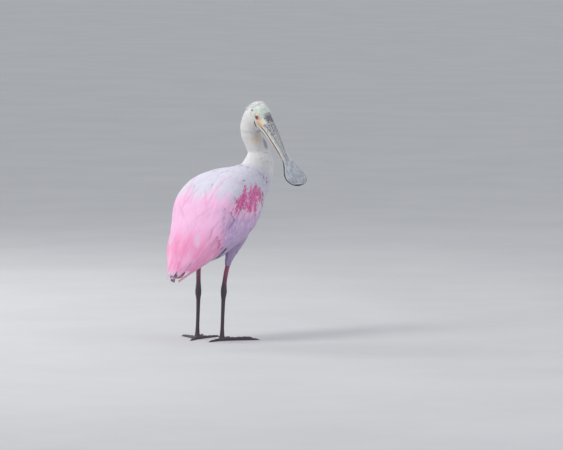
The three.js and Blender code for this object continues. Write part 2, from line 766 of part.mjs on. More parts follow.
// One vane: it leaves the core at its root, lies along the surface and lifts to its tip. Its upper
// edge lies under the vane above it, and its lower edge lies over the next one. It narrows where
// the body does.
function vane(surface, root, feather) {
  const steps =
    feather.length > 75 ? LONG_VANE_STEPS : feather.length > 45 ? VANE_STEPS : SHORT_VANE_STEPS;
  const rows = [];
  let at = { place: root.place, angle: root.angle };
  const rootGirth = surfaceAt(surface, at).round.length();
  steps.forEach((t, i) => {
    const gone = i > 0 ? t - steps[i - 1] : 0;
    at = walk(surface, at, feather.heading + feather.bend * t, feather.length * gone);
    const share = vaneWidth(t, feather.point);
    const girth = surfaceAt(surface, at).round.length() / rootGirth;
    const half = (feather.width / 2) * share * THREE.MathUtils.clamp(girth, 0.35, 1.1);
    const tilt = feather.tilt * share * Math.min(t / 0.4, 1);
    const lift =
      t < VANE_EXIT
        ? mix(feather.low, VANE_EXIT_LIFT, t / VANE_EXIT)
        : mix(VANE_EXIT_LIFT, feather.high, (t - VANE_EXIT) / (1 - VANE_EXIT));
    const thick = mix(VANE_THICKNESS, VANE_TIP_THICKNESS, t);
    const ring = [];
    for (const face of [1, -1]) {
      for (const edge of [-face, face]) {
        const side = walk(surface, at, feather.heading + (edge * Math.PI) / 2, half);
        const { point, out } = surfaceAt(surface, side);
        const height = lift + edge * tilt + (face * thick) / 2;
        ring.push(point.addScaledVector(out, height));
      }
    }
    rows.push(ring);
  });
  return solidOf(vaneSkin(rows));
}

// Four points a ring. Both wide faces are split along the same diagonal.
function vaneSkin(rows) {
  const points = rows.flat();
  const faces = [];
  for (let r = 0; r + 1 < rows.length; r++) {
    const a = r * 4;
    const b = a + 4;
    faces.push(a, a + 1, b, a + 1, b + 1, b);
    faces.push(a + 1, a + 2, b + 1, a + 2, b + 2, b + 1);
    faces.push(a + 2, b + 3, b + 2, a + 2, a + 3, b + 3);
    faces.push(a + 3, a, b + 3, a, b, b + 3);
  }
  const end = (rows.length - 1) * 4;
  faces.push(0, 2, 1, 0, 3, 2, end, end + 1, end + 2, end, end + 2, end + 3);
  return geometryOf(points, faces);
}

// Rows of wing feathers, from the front of the wing to the rear: where the roots start and end
// round the body, how many, their length and width in front and behind, and how high they lie.
const FEATHER_ROWS = [
  { place: [6.8, 6.6], angle: [54, 84], count: 4, length: [40, 38], width: [17, 16] },
  { place: [6.0, 5.8], angle: [50, 94], count: 5, length: [52, 48], width: [22, 20] },
  { place: [5.1, 4.9], angle: [50, 98], count: 6, length: [64, 58], width: [22, 20] },
  { place: [4.2, 4.0], angle: [50, 103], count: 6, length: [80, 68], width: [23, 20] },
  { place: [6.0, 6.2], angle: [20, 36], count: 2, length: [66, 60], width: [24, 22] },
  { place: [5.0, 5.2], angle: [12, 34], count: 3, length: [92, 80], width: [26, 24] },
  { place: [3.8, 4.1], angle: [10, 33], count: 3, length: [108, 92], width: [30, 27] },
  { place: [2.6, 3.1], angle: [14, 54], count: 4, length: [106, 128], width: [28, 26], high: 3.4 },
  { place: [3.1, 3.1], angle: [65, 104], count: 5, length: [128, 120], width: [22, 19], high: 2.2 },
  { place: [2.6, 2.3], angle: [113, 131], count: 3, length: [118, 100], width: [15, 13], high: 1 },
];
// A wide vane on a round body needs more tilt to clear the next one.
const VANE_TILT = 0.95;
const ROUNDNESS = 650;

function wingFeathers(sign, random) {
  const surface = wingSurface(sign);
  const wobble = () => random() - 0.5;
  const made = [];
  for (const row of FEATHER_ROWS) {
    for (let i = 0; i < row.count; i++) {
      const t = i / (row.count - 1);
      const place = mix(...row.place, t) + 0.05 * wobble();
      const root = { place, angle: rad(mix(...row.angle, t)) };
      const width = mix(...row.width, t);
      made.push(
        vane(surface, root, {
          length: mix(...row.length, t) * (1 + 0.05 * wobble()),
          width,
          heading: 0,
          bend: rad(2 * wobble()),
          low: VANE_ROOT_LIFT,
          high: row.high ?? VANE_TIP_LIFT,
          tilt: VANE_TILT + width ** 2 / ROUNDNESS,
          point: 0.8,
        }),
      );
    }
  }
  return made;
}

// A repeatable draw between 0 and 1.
function seeded(seed) {
  let state = seed;
  return () => {
    state = (state * 1664525 + 1013904223) % 4294967296;
    return state / 4294967296;
  };
}

// The tail: a short core and a fan of feathers that lie over one another

const TAIL_ROOT = vec(0, 84, 176);
const TAIL_TIP = vec(0, 131, 131);
const TAIL_HALF_WIDTH = 19;
const TAIL_FEATHERS = 8;
const TAIL_FEATHER_WIDTH = 12;
const TAIL_LAYER = 0.95;
const TAIL_STEPS = [0.12, 0.35, 0.6, 0.8, 0.94, 1];

const tailAhead = TAIL_TIP.clone().sub(TAIL_ROOT).normalize();
const tailUp = LEFT.clone().cross(tailAhead).normalize();
const tailLength = TAIL_TIP.distanceTo(TAIL_ROOT);

function tailPoint(distance, left, above) {
  return TAIL_ROOT.clone()
    .addScaledVector(tailAhead, distance)
    .addScaledVector(LEFT, left)
    .addScaledVector(tailUp, above);
}

// A wedge that is oval across and thins towards its end.
function tailWedge(reach, half, thick, endThick) {
  const sides = 12;
  const rows = [0, 0.35, 0.7, 1].map((t) => {
    const ring = [];
    for (let s = 0; s < sides; s++) {
      const angle = (s / sides) * 2 * Math.PI;
      const left = half * mix(0.9, 1, t) * Math.cos(angle);
      ring.push(tailPoint(reach * t, left, mix(thick, endThick, t) * Math.sin(angle)));
    }
    return ring;
  });
  return solidOf(skinOver(rows));
}

// The middle pair lies on top, and each further pair lies below it.
function tailFeather(index) {
  const pair = Math.floor(index / 2);
  const side = index % 2 === 0 ? 1 : -1;
  const across = side * (pair + 0.5) / (TAIL_FEATHERS / 2 - 0.5);
  const level = ((TAIL_FEATHERS - 1) / 2 - index) * TAIL_LAYER;
  const spread = (TAIL_HALF_WIDTH - TAIL_FEATHER_WIDTH / 2) * across;
  const rows = TAIL_STEPS.map((t) => {
    const half = (TAIL_FEATHER_WIDTH / 2) * vaneWidth(t, 0.7);
    const middle = spread * mix(0.5, 1, t);
    const above = level * mix(0.8, 1, t);
    const thick = mix(0.3, 0.22, t);
    const distance = tailLength * t * (1 - 0.05 * pair);
    return [
      tailPoint(distance, middle - half, above + thick),
      tailPoint(distance, middle + half, above + thick),
      tailPoint(distance, middle + half, above - thick),
      tailPoint(distance, middle - half, above - thick),
    ];
  });
  return solidOf(vaneSkin(rows));
}

function makeTail() {
  let tail = tailWedge(tailLength * 0.42, 15, 10, 4.4);
  for (let i = 0; i < TAIL_FEATHERS; i++) tail = tail.add(tailFeather(i));
  return tail;
}

// A clear space round the whole tail
const tailRoom = () => tailWedge(tailLength + 1, TAIL_HALF_WIDTH + 1, 11, 4.6);

// The whole bird

const FEATHER_WHITE = "#dcdad6";
const FEATHER_PINK = "#e9bfd6";
const DARK_SKIN = "#4a3d44";

const bird = new THREE.Group();

function addPiece(name, geometry, colour, roughness) {
  const material = new THREE.MeshStandardMaterial({ color: colour, roughness, metalness: 0 });
  const mesh = new THREE.Mesh(geometry, material);
  mesh.name = name;
  bird.add(mesh);
}

// How far the bed of a wing stands off its core, and reaches out over it.
const BED_GAP = 0.4;
const BED_REACH = 14;

// The trunk, with a shallow bed in each side for the folded wing.
function makeTrunk(grow, bedGrow) {
  let trunk = solidOf(flesh(0, NECK_ROOT, 13, grow));
  for (const { sign } of SIDES) trunk = trunk.subtract(wingBand(sign, BED_REACH, bedGrow));
  return trunk;
}

const torso = makeTrunk(0, BED_GAP);
const torsoRoom = makeTrunk(BED_GAP, 0.01);
const trunkRoom = solidOf(flesh(0, NECK_ROOT, 13, BED_GAP));
const neckRoom = solidOf(flesh(NECK_ROOT - 0.1, NECK_MIDDLE, 8, GAP + 0.2));

// The other side of the bird, which a wing keeps out of.
function otherSide(sign) {
  const wide = 120;
  const half = new THREE.BoxGeometry(wide, 600, 600);
  return solidOf(half.translate(-sign * (wide / 2 - GAP / 2), 0, 200));
}

function makeThigh(leg) {
  return solidOf(column(leg.thigh, leg.sign)).subtract(trunkRoom);
}

function makeWing(leg) {
  const around = leg.thigh.map(([z, out, ahead, wide, deep]) => [z, out, ahead, wide + 1, deep + 1]);
  const thighRoom = solidOf(column(around, leg.sign));
  let wing = wingBand(leg.sign, CORE_LIFT, 0);
  for (const feather of wingFeathers(leg.sign, seeded(7))) wing = wing.add(feather);
  wing = wing.subtract(torsoRoom).subtract(neckRoom).subtract(thighRoom);
  return wing.subtract(tailRoom()).subtract(otherSide(leg.sign));
}

addPiece("torso", largestOf(torso), FEATHER_PINK, 0.8);
addPiece("neck_lower", flesh(NECK_ROOT, NECK_MIDDLE, 8), FEATHER_WHITE, 0.85);
addPiece("neck_upper", flesh(NECK_MIDDLE, NECK_TOP, 7), FEATHER_WHITE, 0.85);
addPiece("head", makeHead(), "#d5dacb", 0.8);
addPiece("bill_upper", makeUpperBill(), "#b9b9bb", 0.5);
addPiece("bill_lower", mandible(false), "#a9a7a8", 0.5);
for (const { name, sign } of SIDES) addPiece(`eye_${name}`, eyeBall(sign), "#b3230f", 0.1);
addPiece("tail", largestOf(makeTail().subtract(trunkRoom)), "#e6a27c", 0.7);

for (const leg of LEGS) {
  addPiece(`thigh_${leg.name}`, largestOf(makeThigh(leg)), FEATHER_PINK, 0.8);
  addPiece(`shank_${leg.name}`, column(leg.shank, leg.sign), "#a04a5c", 0.6);
  addPiece(`tarsus_${leg.name}`, column(leg.tarsus, leg.sign), DARK_SKIN, 0.6);
  addPiece(`foot_${leg.name}`, makeFoot(leg), DARK_SKIN, 0.7);
  for (const toe of TOES) {
    addPiece(`claw_${leg.name}_${toe.name}`, clawGeometry(leg, toe), "#241f22", 0.4);
  }
  addPiece(`wing_${leg.name}`, largestOf(makeWing(leg)), FEATHER_PINK, 0.8);
}

// The bird is set down with the middle of its box over the origin.
const box = new THREE.Box3().setFromObject(bird);
const middle = box.getCenter(vec(0, 0, 0));
bird.position.set(-middle.x, -middle.y, -box.min.z);

const group = new THREE.Group();
group.add(bird);

export default group;
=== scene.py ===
"""Looks of a life-size roseate spoonbill that stands on both feet and looks back over its right side.

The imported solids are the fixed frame. One skin takes the place of the flesh, and feathers lie on it as
joined meshes. Shapes are worked out in millimetres in the bird's own space, where the ground is at z = 0,
the body faces -Y and the bird's right side is at -X, and are then moved into the frame in metres.
"""

import math

import bpy
import numpy as np
from bpy.props import FloatProperty, FloatVectorProperty, IntProperty, PointerProperty
from mathutils import Color, Matrix, Vector


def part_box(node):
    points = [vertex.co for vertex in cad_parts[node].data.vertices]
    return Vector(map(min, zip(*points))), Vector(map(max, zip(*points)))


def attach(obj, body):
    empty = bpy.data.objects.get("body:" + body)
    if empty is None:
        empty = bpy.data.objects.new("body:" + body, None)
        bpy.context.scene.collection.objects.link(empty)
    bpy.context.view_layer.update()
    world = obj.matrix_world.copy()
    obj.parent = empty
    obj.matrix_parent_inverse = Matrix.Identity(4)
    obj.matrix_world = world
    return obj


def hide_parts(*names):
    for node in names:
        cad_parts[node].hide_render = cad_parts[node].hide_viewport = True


bl_info = {
    "name": "Roseate spoonbill",
    "version": (1, 0, 0),
    "blender": (4, 5, 0),
    "location": "3D View > Sidebar > Spoonbill",
    "description": "Builds the skin, feathers, bill, eyes and legs of a standing roseate spoonbill",
    "category": "Object",
}

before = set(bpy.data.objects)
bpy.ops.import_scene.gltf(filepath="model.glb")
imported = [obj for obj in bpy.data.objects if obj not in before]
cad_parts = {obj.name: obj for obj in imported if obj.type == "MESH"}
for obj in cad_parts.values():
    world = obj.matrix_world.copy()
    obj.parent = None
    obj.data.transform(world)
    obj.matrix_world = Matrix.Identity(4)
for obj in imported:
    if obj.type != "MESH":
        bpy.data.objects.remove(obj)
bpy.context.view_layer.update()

MM = 0.001
BODY = "root"
SIDES = {"right": -1, "left": 1}
FULL_TURN = 2 * math.pi

# The bird's own sizes and angles

HEAD_TURN = math.radians(107)
SKULL_PITCH = math.radians(33)
BILL_PITCH = math.radians(53.5)
HEAD_CENTRE = np.array((-26.0, -152.0, 453.0))
EYE_SIDE = 12.4
EYEBALL = 8.0
EYE_OPENING = (6.3, 5.6)
EYE_SHIFT = (0.9, 0.9)
EAR = (-20.4, 2.4, 18.4)
BILL_LENGTH = 180.0
UP = np.array((0.0, 0.0, 1.0))
LEFT = np.array((1.0, 0.0, 0.0))


def turned(vector, axis, angle):
    """The vector turned about the axis."""
    cos, sin = math.cos(angle), math.sin(angle)
    return vector * cos + np.cross(axis, vector) * sin + axis * np.dot(axis, vector) * (1 - cos)


def heading(turn):
    """The level direction that the bird faces after a turn to its right."""
    return np.array((-math.sin(turn), -math.cos(turn), 0.0))


HEAD_FORWARD = heading(HEAD_TURN)
HEAD_LEFT = np.cross(UP, HEAD_FORWARD)
SKULL_AHEAD, SKULL_UP, BILL_AHEAD, BILL_UP = (
    turned(way, HEAD_LEFT, pitch) for pitch in (SKULL_PITCH, BILL_PITCH) for way in (HEAD_FORWARD, UP)
)


def skull_point(ahead, above, left=0.0):
    """A point of the head, from the middle between the eyes."""
    return HEAD_CENTRE + SKULL_AHEAD * ahead + SKULL_UP * above + HEAD_LEFT * left


def along_axes(points, ahead, up):
    """Distances along two axes and to the left, from the middle between the eyes."""
    away = points - HEAD_CENTRE
    return away @ ahead, away @ up, away @ HEAD_LEFT


# The right eye ties the bird's own space to the frame.
EYE_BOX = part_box("eye_right")
SHIFT = np.array((EYE_BOX[0] + EYE_BOX[1]) / 2) / MM - skull_point(0, 0, -EYE_SIDE)


def to_frame(points):
    """Points of the bird's own space, in metres of the frame."""
    return (np.asarray(points, float) + SHIFT) * MM


# The body, neck and head as one row of stations from the tail to the face.
# A station is its centre, a half vector to the back and a half vector to the left.


def between(top, bottom, side):
    return (top + bottom) / 2, (top - bottom) / 2, side


def body_station(back, belly, half_width):
    return between(np.array((0.0, *back)), np.array((0.0, *belly)), LEFT * half_width)


def neck_station(centre, tilt, turn, radius):
    forward = heading(math.radians(turn))
    side = np.cross(UP, forward)
    up = turned(-forward, side, math.radians(tilt))
    return np.array(centre, float), up * radius, side * radius * 0.97


def head_station(crown, chin, half_width):
    return between(skull_point(*crown), skull_point(*chin), HEAD_LEFT * half_width)


SPINE_STATIONS = (
    body_station((112, 176), (90, 150), 20),
    body_station((92, 214), (46, 160), 42),
    body_station((66, 254), (-5, 166), 56),
    body_station((32, 294), (-54, 187), 64),
    body_station((-8, 325), (-101, 216), 66),
    body_station((-52, 342), (-136, 247), 54),
    body_station((-86, 349), (-165, 273), 43),
    body_station((-110, 352), (-190, 299), 36),
    body_station((-128, 357), (-203, 325), 31),
    body_station((-142, 368), (-210, 348), 28),
    neck_station((3, -180, 374), 6, 14, 25),
    neck_station((7, -173, 394), -8, 40, 22.5),
    neck_station((12, -166, 412), -8, 72, 21.5),
    head_station((-37, -58), (2, -37), 21.5),
    head_station((-46, -41), (3, -35), 21.5),
    head_station((-48, -22), (4, -33), 21),
    head_station((-42, -2), (5, -31), 20.5),
    head_station((-30, 13), (6, -29.5), 20.5),
    head_station((-16, 21.5), (6.8, -28), 19.4),
    head_station((-3, 22.5), (7.4, -26.5), 18.2),
    head_station((6.5, 18.5), (8, -24.5), 17.4),
    head_station((13.9, 12.6), (8.3, -21.8), 16.6),
)
FACE_EDGE = len(SPINE_STATIONS) - 1.0

# The folded wings, as one envelope that is boxy over the shoulders
ENVELOPE_STATIONS = (
    body_station((140, 138), (112, 122), 13),
    body_station((116, 176), (84, 138), 33),
    body_station((94, 214), (50, 153), 55),
    body_station((68, 257), (0, 172), 70),
    body_station((38, 302), (-48, 196), 75),
    body_station((-2, 334), (-97, 220), 72),
    body_station((-48, 348), (-134, 248), 61),
    body_station((-85, 351), (-160, 275), 48),
    body_station((-108, 353), (-184, 300), 38),
)
ENVELOPE_BULGE = (2, 2, 2, 2.1, 3.8, 3.6, 3, 2.4, 2)
# The wing's upper and lower edge at each station, in degrees round from the back.
WING_TOP = (10, 7, 5, 5, 7, 12, 20, 34, 52)
WING_BOTTOM = (150, 140, 132, 124, 114, 104, 98, 94, 90)
WING_FRONT = len(ENVELOPE_STATIONS) - 1.0

# How deep the coat lies over the skin: (places, depths). The face is bare.
BODY_COAT = ((0, 7, 9, 12, 15, 17, 18.2, 19.2, 21), (2.8, 2.8, 2.3, 1.8, 1.5, 1.2, 0.8, 0.4, 0))
WING_COAT = ((0, 1), (3.4, 3.4))
NO_COAT = ((0, 1), (0, 0))
THIGH_COAT = 2.0

# Levels of each leg: height, distance outward and forward, half width and half depth.
THIGHS = {
    "right": (
        (153, 36, 11.5, 5.4, 5.8), (165, 36, 16, 6.8, 9), (178, 36.6, 23, 9.5, 14),
        (200, 38.5, 35, 14.5, 25), (217, 40, 44, 15, 27), (234, 36, 40, 9, 14),
    ),
    "left": (
        (153, 37.8, 13.5, 5.4, 5.6), (165, 39, 18.5, 6.6, 8.5), (178, 40.5, 24, 9.5, 14),
        (200, 43, 34, 14.5, 26), (217, 44, 41, 15, 28), (234, 40, 36, 9, 14),
    ),
}
SHANKS = {
    "right": (
        (153, 36, 11.5, 4.7, 4.9), (138, 36, 5.6, 4.5, 4.9), (120, 35.8, 0.8, 4.5, 5),
        (109, 35.6, -0.9, 5.6, 6.2), (101, 35.5, -0.9, 6.1, 6.8),
    ),
    "left": (
        (153, 37.8, 13.5, 4.7, 4.9), (138, 35.8, 9, 4.5, 4.9), (118, 32.6, 4.5, 4.5, 5),
        (106, 30.6, 1.4, 5.6, 6.2), (97, 29.4, -0.4, 6.1, 6.8),
    ),
}
TARSI = {
    "right": (
        (101, 35.5, -0.9, 6.1, 6.8), (94, 35.2, -1.4, 5.4, 6.2), (84, 34.6, -1.6, 4, 4.8),
        (60, 33.4, -1.6, 3.5, 4.2), (30, 32, -1.5, 3.5, 4.2), (14, 31.3, -1.4, 4.3, 5),
        (9, 31, -1.4, 4.9, 5.6),
    ),
    "left": (
        (97, 29.4, -0.4, 6.1, 6.8), (91, 29.3, -0.6, 5.4, 6.2), (81, 29.5, -0.3, 4, 4.8),
        (57, 30.6, 0.2, 3.5, 4.2), (29, 32, 0.6, 3.5, 4.2), (14, 32.8, 0.9, 4.3, 5),
        (9, 33, 1, 4.9, 5.6),
    ),
}
TOES_OUT = {"right": 12, "left": 30}
MIDDLE_TOE = 78.0
FRONT_JOINTS = (0.34, 0.6, 0.82)
# Each toe's angle from the way the foot points, its length, the claw's length and its joints.
TOES = {
    "inner": (-34, MIDDLE_TOE * 0.82, 9, FRONT_JOINTS),
    "middle": (-2, MIDDLE_TOE, 11, FRONT_JOINTS),
    "outer": (30, MIDDLE_TOE * 0.9, 9, FRONT_JOINTS),
    "hind": (168, 38, 9, (0.5,)),
}
TOE_ROOT = 4.0
TOE_HALF_WIDTH = 3.7
TOE_HEIGHT = 6.0


# Smooth surfaces over a row of stations


def spline(rows, place):
    """Smooth values between rows, at places counted in rows."""
    rows = np.asarray(rows, float)
    last = len(rows) - 1
    place = np.clip(np.asarray(place, float), 0, last)
    i = np.minimum(place.astype(int), last - 1)
    f = (place - i).reshape(place.shape + (1,) * (rows.ndim - 1))
    a, b, c, d = (rows[np.clip(i + k, 0, last)] for k in (-1, 0, 1, 2))
    slope = (c - a) * f
    square = (2 * a - 5 * b + 4 * c - d) * f**2
    cube = (3 * b - a - 3 * c + d) * f**3
    return 0.5 * (2 * b + slope + square + cube)


def unit(vectors):
    return vectors / np.maximum(np.linalg.norm(vectors, axis=-1, keepdims=True), 1e-9)


def dot(a, b):
    return np.einsum("...i,...i", a, b)


def smooth(low, high, value):
    """Rises smoothly from 0 at the low value to 1 at the high one."""
    t = np.clip((np.asarray(value, float) - low) / (high - low), 0, 1)
    return t * t * (3 - 2 * t)


def hump(distance, width=1.0):
    """A soft hump that is 1 where the distance is 0."""
    return np.exp(-((distance / width) ** 2))


def off_back(angle):
    """How many degrees an angle lies off the middle of the back, on either side."""
    return np.degrees(np.abs((angle + math.pi) % FULL_TURN - math.pi))


class Surface:
    """A rounded surface over a row of stations, which feathers can lie on."""

    def __init__(self, stations, bulge=2.0, coat=NO_COAT):
        self.centre, self.up, self.side = (np.array(column) for column in zip(*stations))
        self.bulge = np.broadcast_to(bulge, len(stations)).astype(float)
        self.coat = coat
        self.last = len(stations) - 1.0

    def point(self, place, angle, lift=0.0):
        """Points from places along the row and angles round it from the back."""
        place, angle = np.broadcast_arrays(np.asarray(place, float), angle)
        up, side = spline(self.up, place), spline(self.side, place)
        bulge = spline(self.bulge, place)
        cos, sin = np.cos(angle), np.sin(angle)
        bulge = np.where(cos < 0, 2 + (bulge - 2) * 0.4, bulge)
        reach = (np.abs(cos) ** bulge + np.abs(sin) ** bulge) ** (-1 / bulge)
        grow = (lift - np.interp(place, *self.coat))[..., None]
        up, side = up + unit(up) * grow, side + unit(side) * grow
        return spline(self.centre, place) + up * (cos * reach)[..., None] + side * (sin * reach)[..., None]

    def lie(self, place, angle):
        """The point, the ways to the rear and round, and the way out, at places on the surface."""
        step = 0.02
        point = self.point(place, angle)
        ahead, behind = np.clip(place + step, 0, self.last), np.clip(place - step, 0, self.last)
        rear = (self.point(behind, angle) - self.point(ahead, angle)) / (ahead - behind)[..., None]
        around = (self.point(place, angle + step) - self.point(place, angle - step)) / (2 * step)
        out = unit(np.cross(rear, around))
        inward = dot(out, point - spline(self.centre, place)) < 0
        return point, rear, around, np.where(inward[..., None], -out, out)

    def girth(self, place, angle):
        """How wide the surface is round its row, at places on it."""
        return np.linalg.norm(self.lie(place, angle)[2], axis=-1)

    def walk(self, place, angle, way, distance):
        """Moves over the surface. A way of 0 leads to the rear, and a quarter turn leads round."""
        place, angle, way, distance = np.broadcast_arrays(place, angle, way, distance)
        _, rear, around, out = self.lie(place, angle)
        ahead = unit(rear)
        down = unit(np.cross(out, ahead))
        down = np.where((dot(down, around) < 0)[..., None], -down, down)
        aim = ahead * (np.cos(way) * distance)[..., None] + down * (np.sin(way) * distance)[..., None]
        rr, rc, cc = dot(rear, rear), dot(rear, around), dot(around, around)
        ra, ca = dot(rear, aim), dot(around, aim)
        area = rr * cc - rc * rc
        place = place - (ra * cc - ca * rc) / area
        angle = angle + (ca * rr - ra * rc) / area
        return np.clip(place, 0, self.last), angle


BODY_SURFACE = Surface(SPINE_STATIONS, coat=BODY_COAT)
WING_SURFACE = Surface(ENVELOPE_STATIONS, ENVELOPE_BULGE, WING_COAT)


def leg_surface(levels, sign, shrink=0.0):
    """A limb over its levels, from its lower end up."""
    return Surface([
        (
            np.array((sign * out, -ahead, height)),
            np.array((0.0, -max(deep - shrink, 1), 0.0)),
            np.array((-max(wide - shrink, 1), 0.0, 0.0)),
        )
        for height, out, ahead, wide, deep in sorted(levels)
    ])


# Meshes

WHOLE_BAKE = (0.02, 0.02, 0.96, 0.96)


def pairs_of(u, v):
    """Bake places from their two coordinates."""
    return np.stack(np.broadcast_arrays(u, v), -1)


def round_bake(box, along, angle):
    """Bake places that fill a box (u, v, width, height), from shares along and angles round."""
    u, v, wide, high = box
    return pairs_of(u + wide * along, v + high * ((angle + math.pi) % FULL_TURN) / FULL_TURN)


def all_round(places, sides):
    """Places and angles over a surface, all the way round."""
    return np.meshgrid(places, np.linspace(-math.pi, math.pi, sides, endpoint=False), indexing="ij")


class Shape:
    """Points, faces, bake places and named values that grow into one mesh."""

    def __init__(self):
        self.points, self.faces, self.bake, self.normals, self.values = [], [], [], [], {}
        self.count = 0

    def grid(self, points, bake, wrap=False, cap=False, normals=None, **values):
        """Adds grids of points. Points have the axes (grids,) rows, columns, xyz."""
        if points.ndim == 3:
            points = points[None]
        grids, rows, columns = points.shape[:3]
        index = np.arange(grids * rows * columns).reshape(grids, rows, columns) + self.count
        right = np.roll(index, -1, axis=2) if wrap else index[:, :, 1:]
        here = index if wrap else index[:, :, :-1]
        quads = np.stack((here[:, :-1], right[:, :-1], right[:, 1:], here[:, 1:]), axis=-1)
        self.faces.append(quads.reshape(-1, 4))
        for row in (0, -1) if cap else ():
            near, far = index[:, row, : columns // 2], index[:, row, ::-1][:, : columns // 2]
            lid = np.stack((near[:, :-1], near[:, 1:], far[:, 1:], far[:, :-1]), axis=-1)
            self.faces.append((lid if row else lid[..., ::-1]).reshape(-1, 4))
        self.points.append(points.reshape(-1, 3))
        if normals is not None:
            self.normals.append(normals.reshape(-1, 3))
        self.bake.append(np.broadcast_to(bake, points.shape[:3] + (2,)).reshape(-1, 2))
        for name in {**self.values, **values}:
            column = self.values.setdefault(name, [np.zeros(self.count)] if self.count else [])
            value = np.broadcast_to(values.get(name, 0.0), points.shape[:3])
            column.append(value.reshape(-1).astype(float))
        self.count += index.size

    def tube(self, surface, rows, sides, bake_box, scaly=False):
        """Adds a closed skin over the whole of a surface, with values for scales where it is scaly."""
        place, angle = all_round(np.linspace(0, surface.last, rows), sides)
        points = surface.point(place, angle)
        values = {"around": angle * 4.6, "length": points[..., 2]} if scaly else {}
        self.grid(points, round_bake(bake_box, place / surface.last, angle), wrap=True, cap=True, **values)

    def build(self, name, material, slot, *nodes):
        """Makes the mesh object in the frame, riding on the body, in the place of the named nodes."""
        points = to_frame(np.concatenate(self.points)).astype(np.float32)
        faces = np.concatenate(self.faces)
        mesh = bpy.data.meshes.new(name)
        mesh.vertices.add(len(points))
        mesh.vertices.foreach_set("co", points.ravel())
        mesh.loops.add(faces.size)
        mesh.loops.foreach_set("vertex_index", faces.ravel().astype(np.int32))
        mesh.polygons.add(len(faces))
        mesh.polygons.foreach_set("loop_start", np.arange(0, faces.size, 4, dtype=np.int32))
        mesh.polygons.foreach_set("use_smooth", np.ones(len(faces), dtype=bool))
        mesh.update(calc_edges=True)
        mesh.validate()
        corners = np.zeros(len(mesh.loops), np.int32)
        mesh.loops.foreach_get("vertex_index", corners)
        layer = mesh.uv_layers.new(name="OFBake")
        layer.data.foreach_set("uv", np.concatenate(self.bake)[corners].astype(np.float32).ravel())
        for key, columns in self.values.items():
            attribute = mesh.attributes.new(key, "FLOAT", "POINT")
            attribute.data.foreach_set("value", np.concatenate(columns).astype(np.float32))
        if self.normals:
            mesh.normals_split_custom_set_from_vertices(np.concatenate(self.normals).astype(np.float32))
        mesh.materials.append(material)
        piece = bpy.data.objects.new(name, mesh)
        bpy.context.scene.collection.objects.link(piece)
        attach(piece, BODY)
        if nodes:
            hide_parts(*nodes)


# Feathers

PATCH = 0.003
FRINGE = 0.4
# The share of a feather's length over which it comes out of the skin.
ROOT_SHARE = 0.16


def vane_profile(t, point):
    """A vane's width along its length, as a share of its full width."""
    body = 0.3 + 0.7 * np.sin(np.minimum(t / 0.5, 1) * math.pi / 2)
    tip = np.sqrt(np.clip(1 - (np.clip((t - point) / (1 - point), 0, 1)) ** 2.2, 0, 1))
    return np.maximum(body * tip, 0.16)


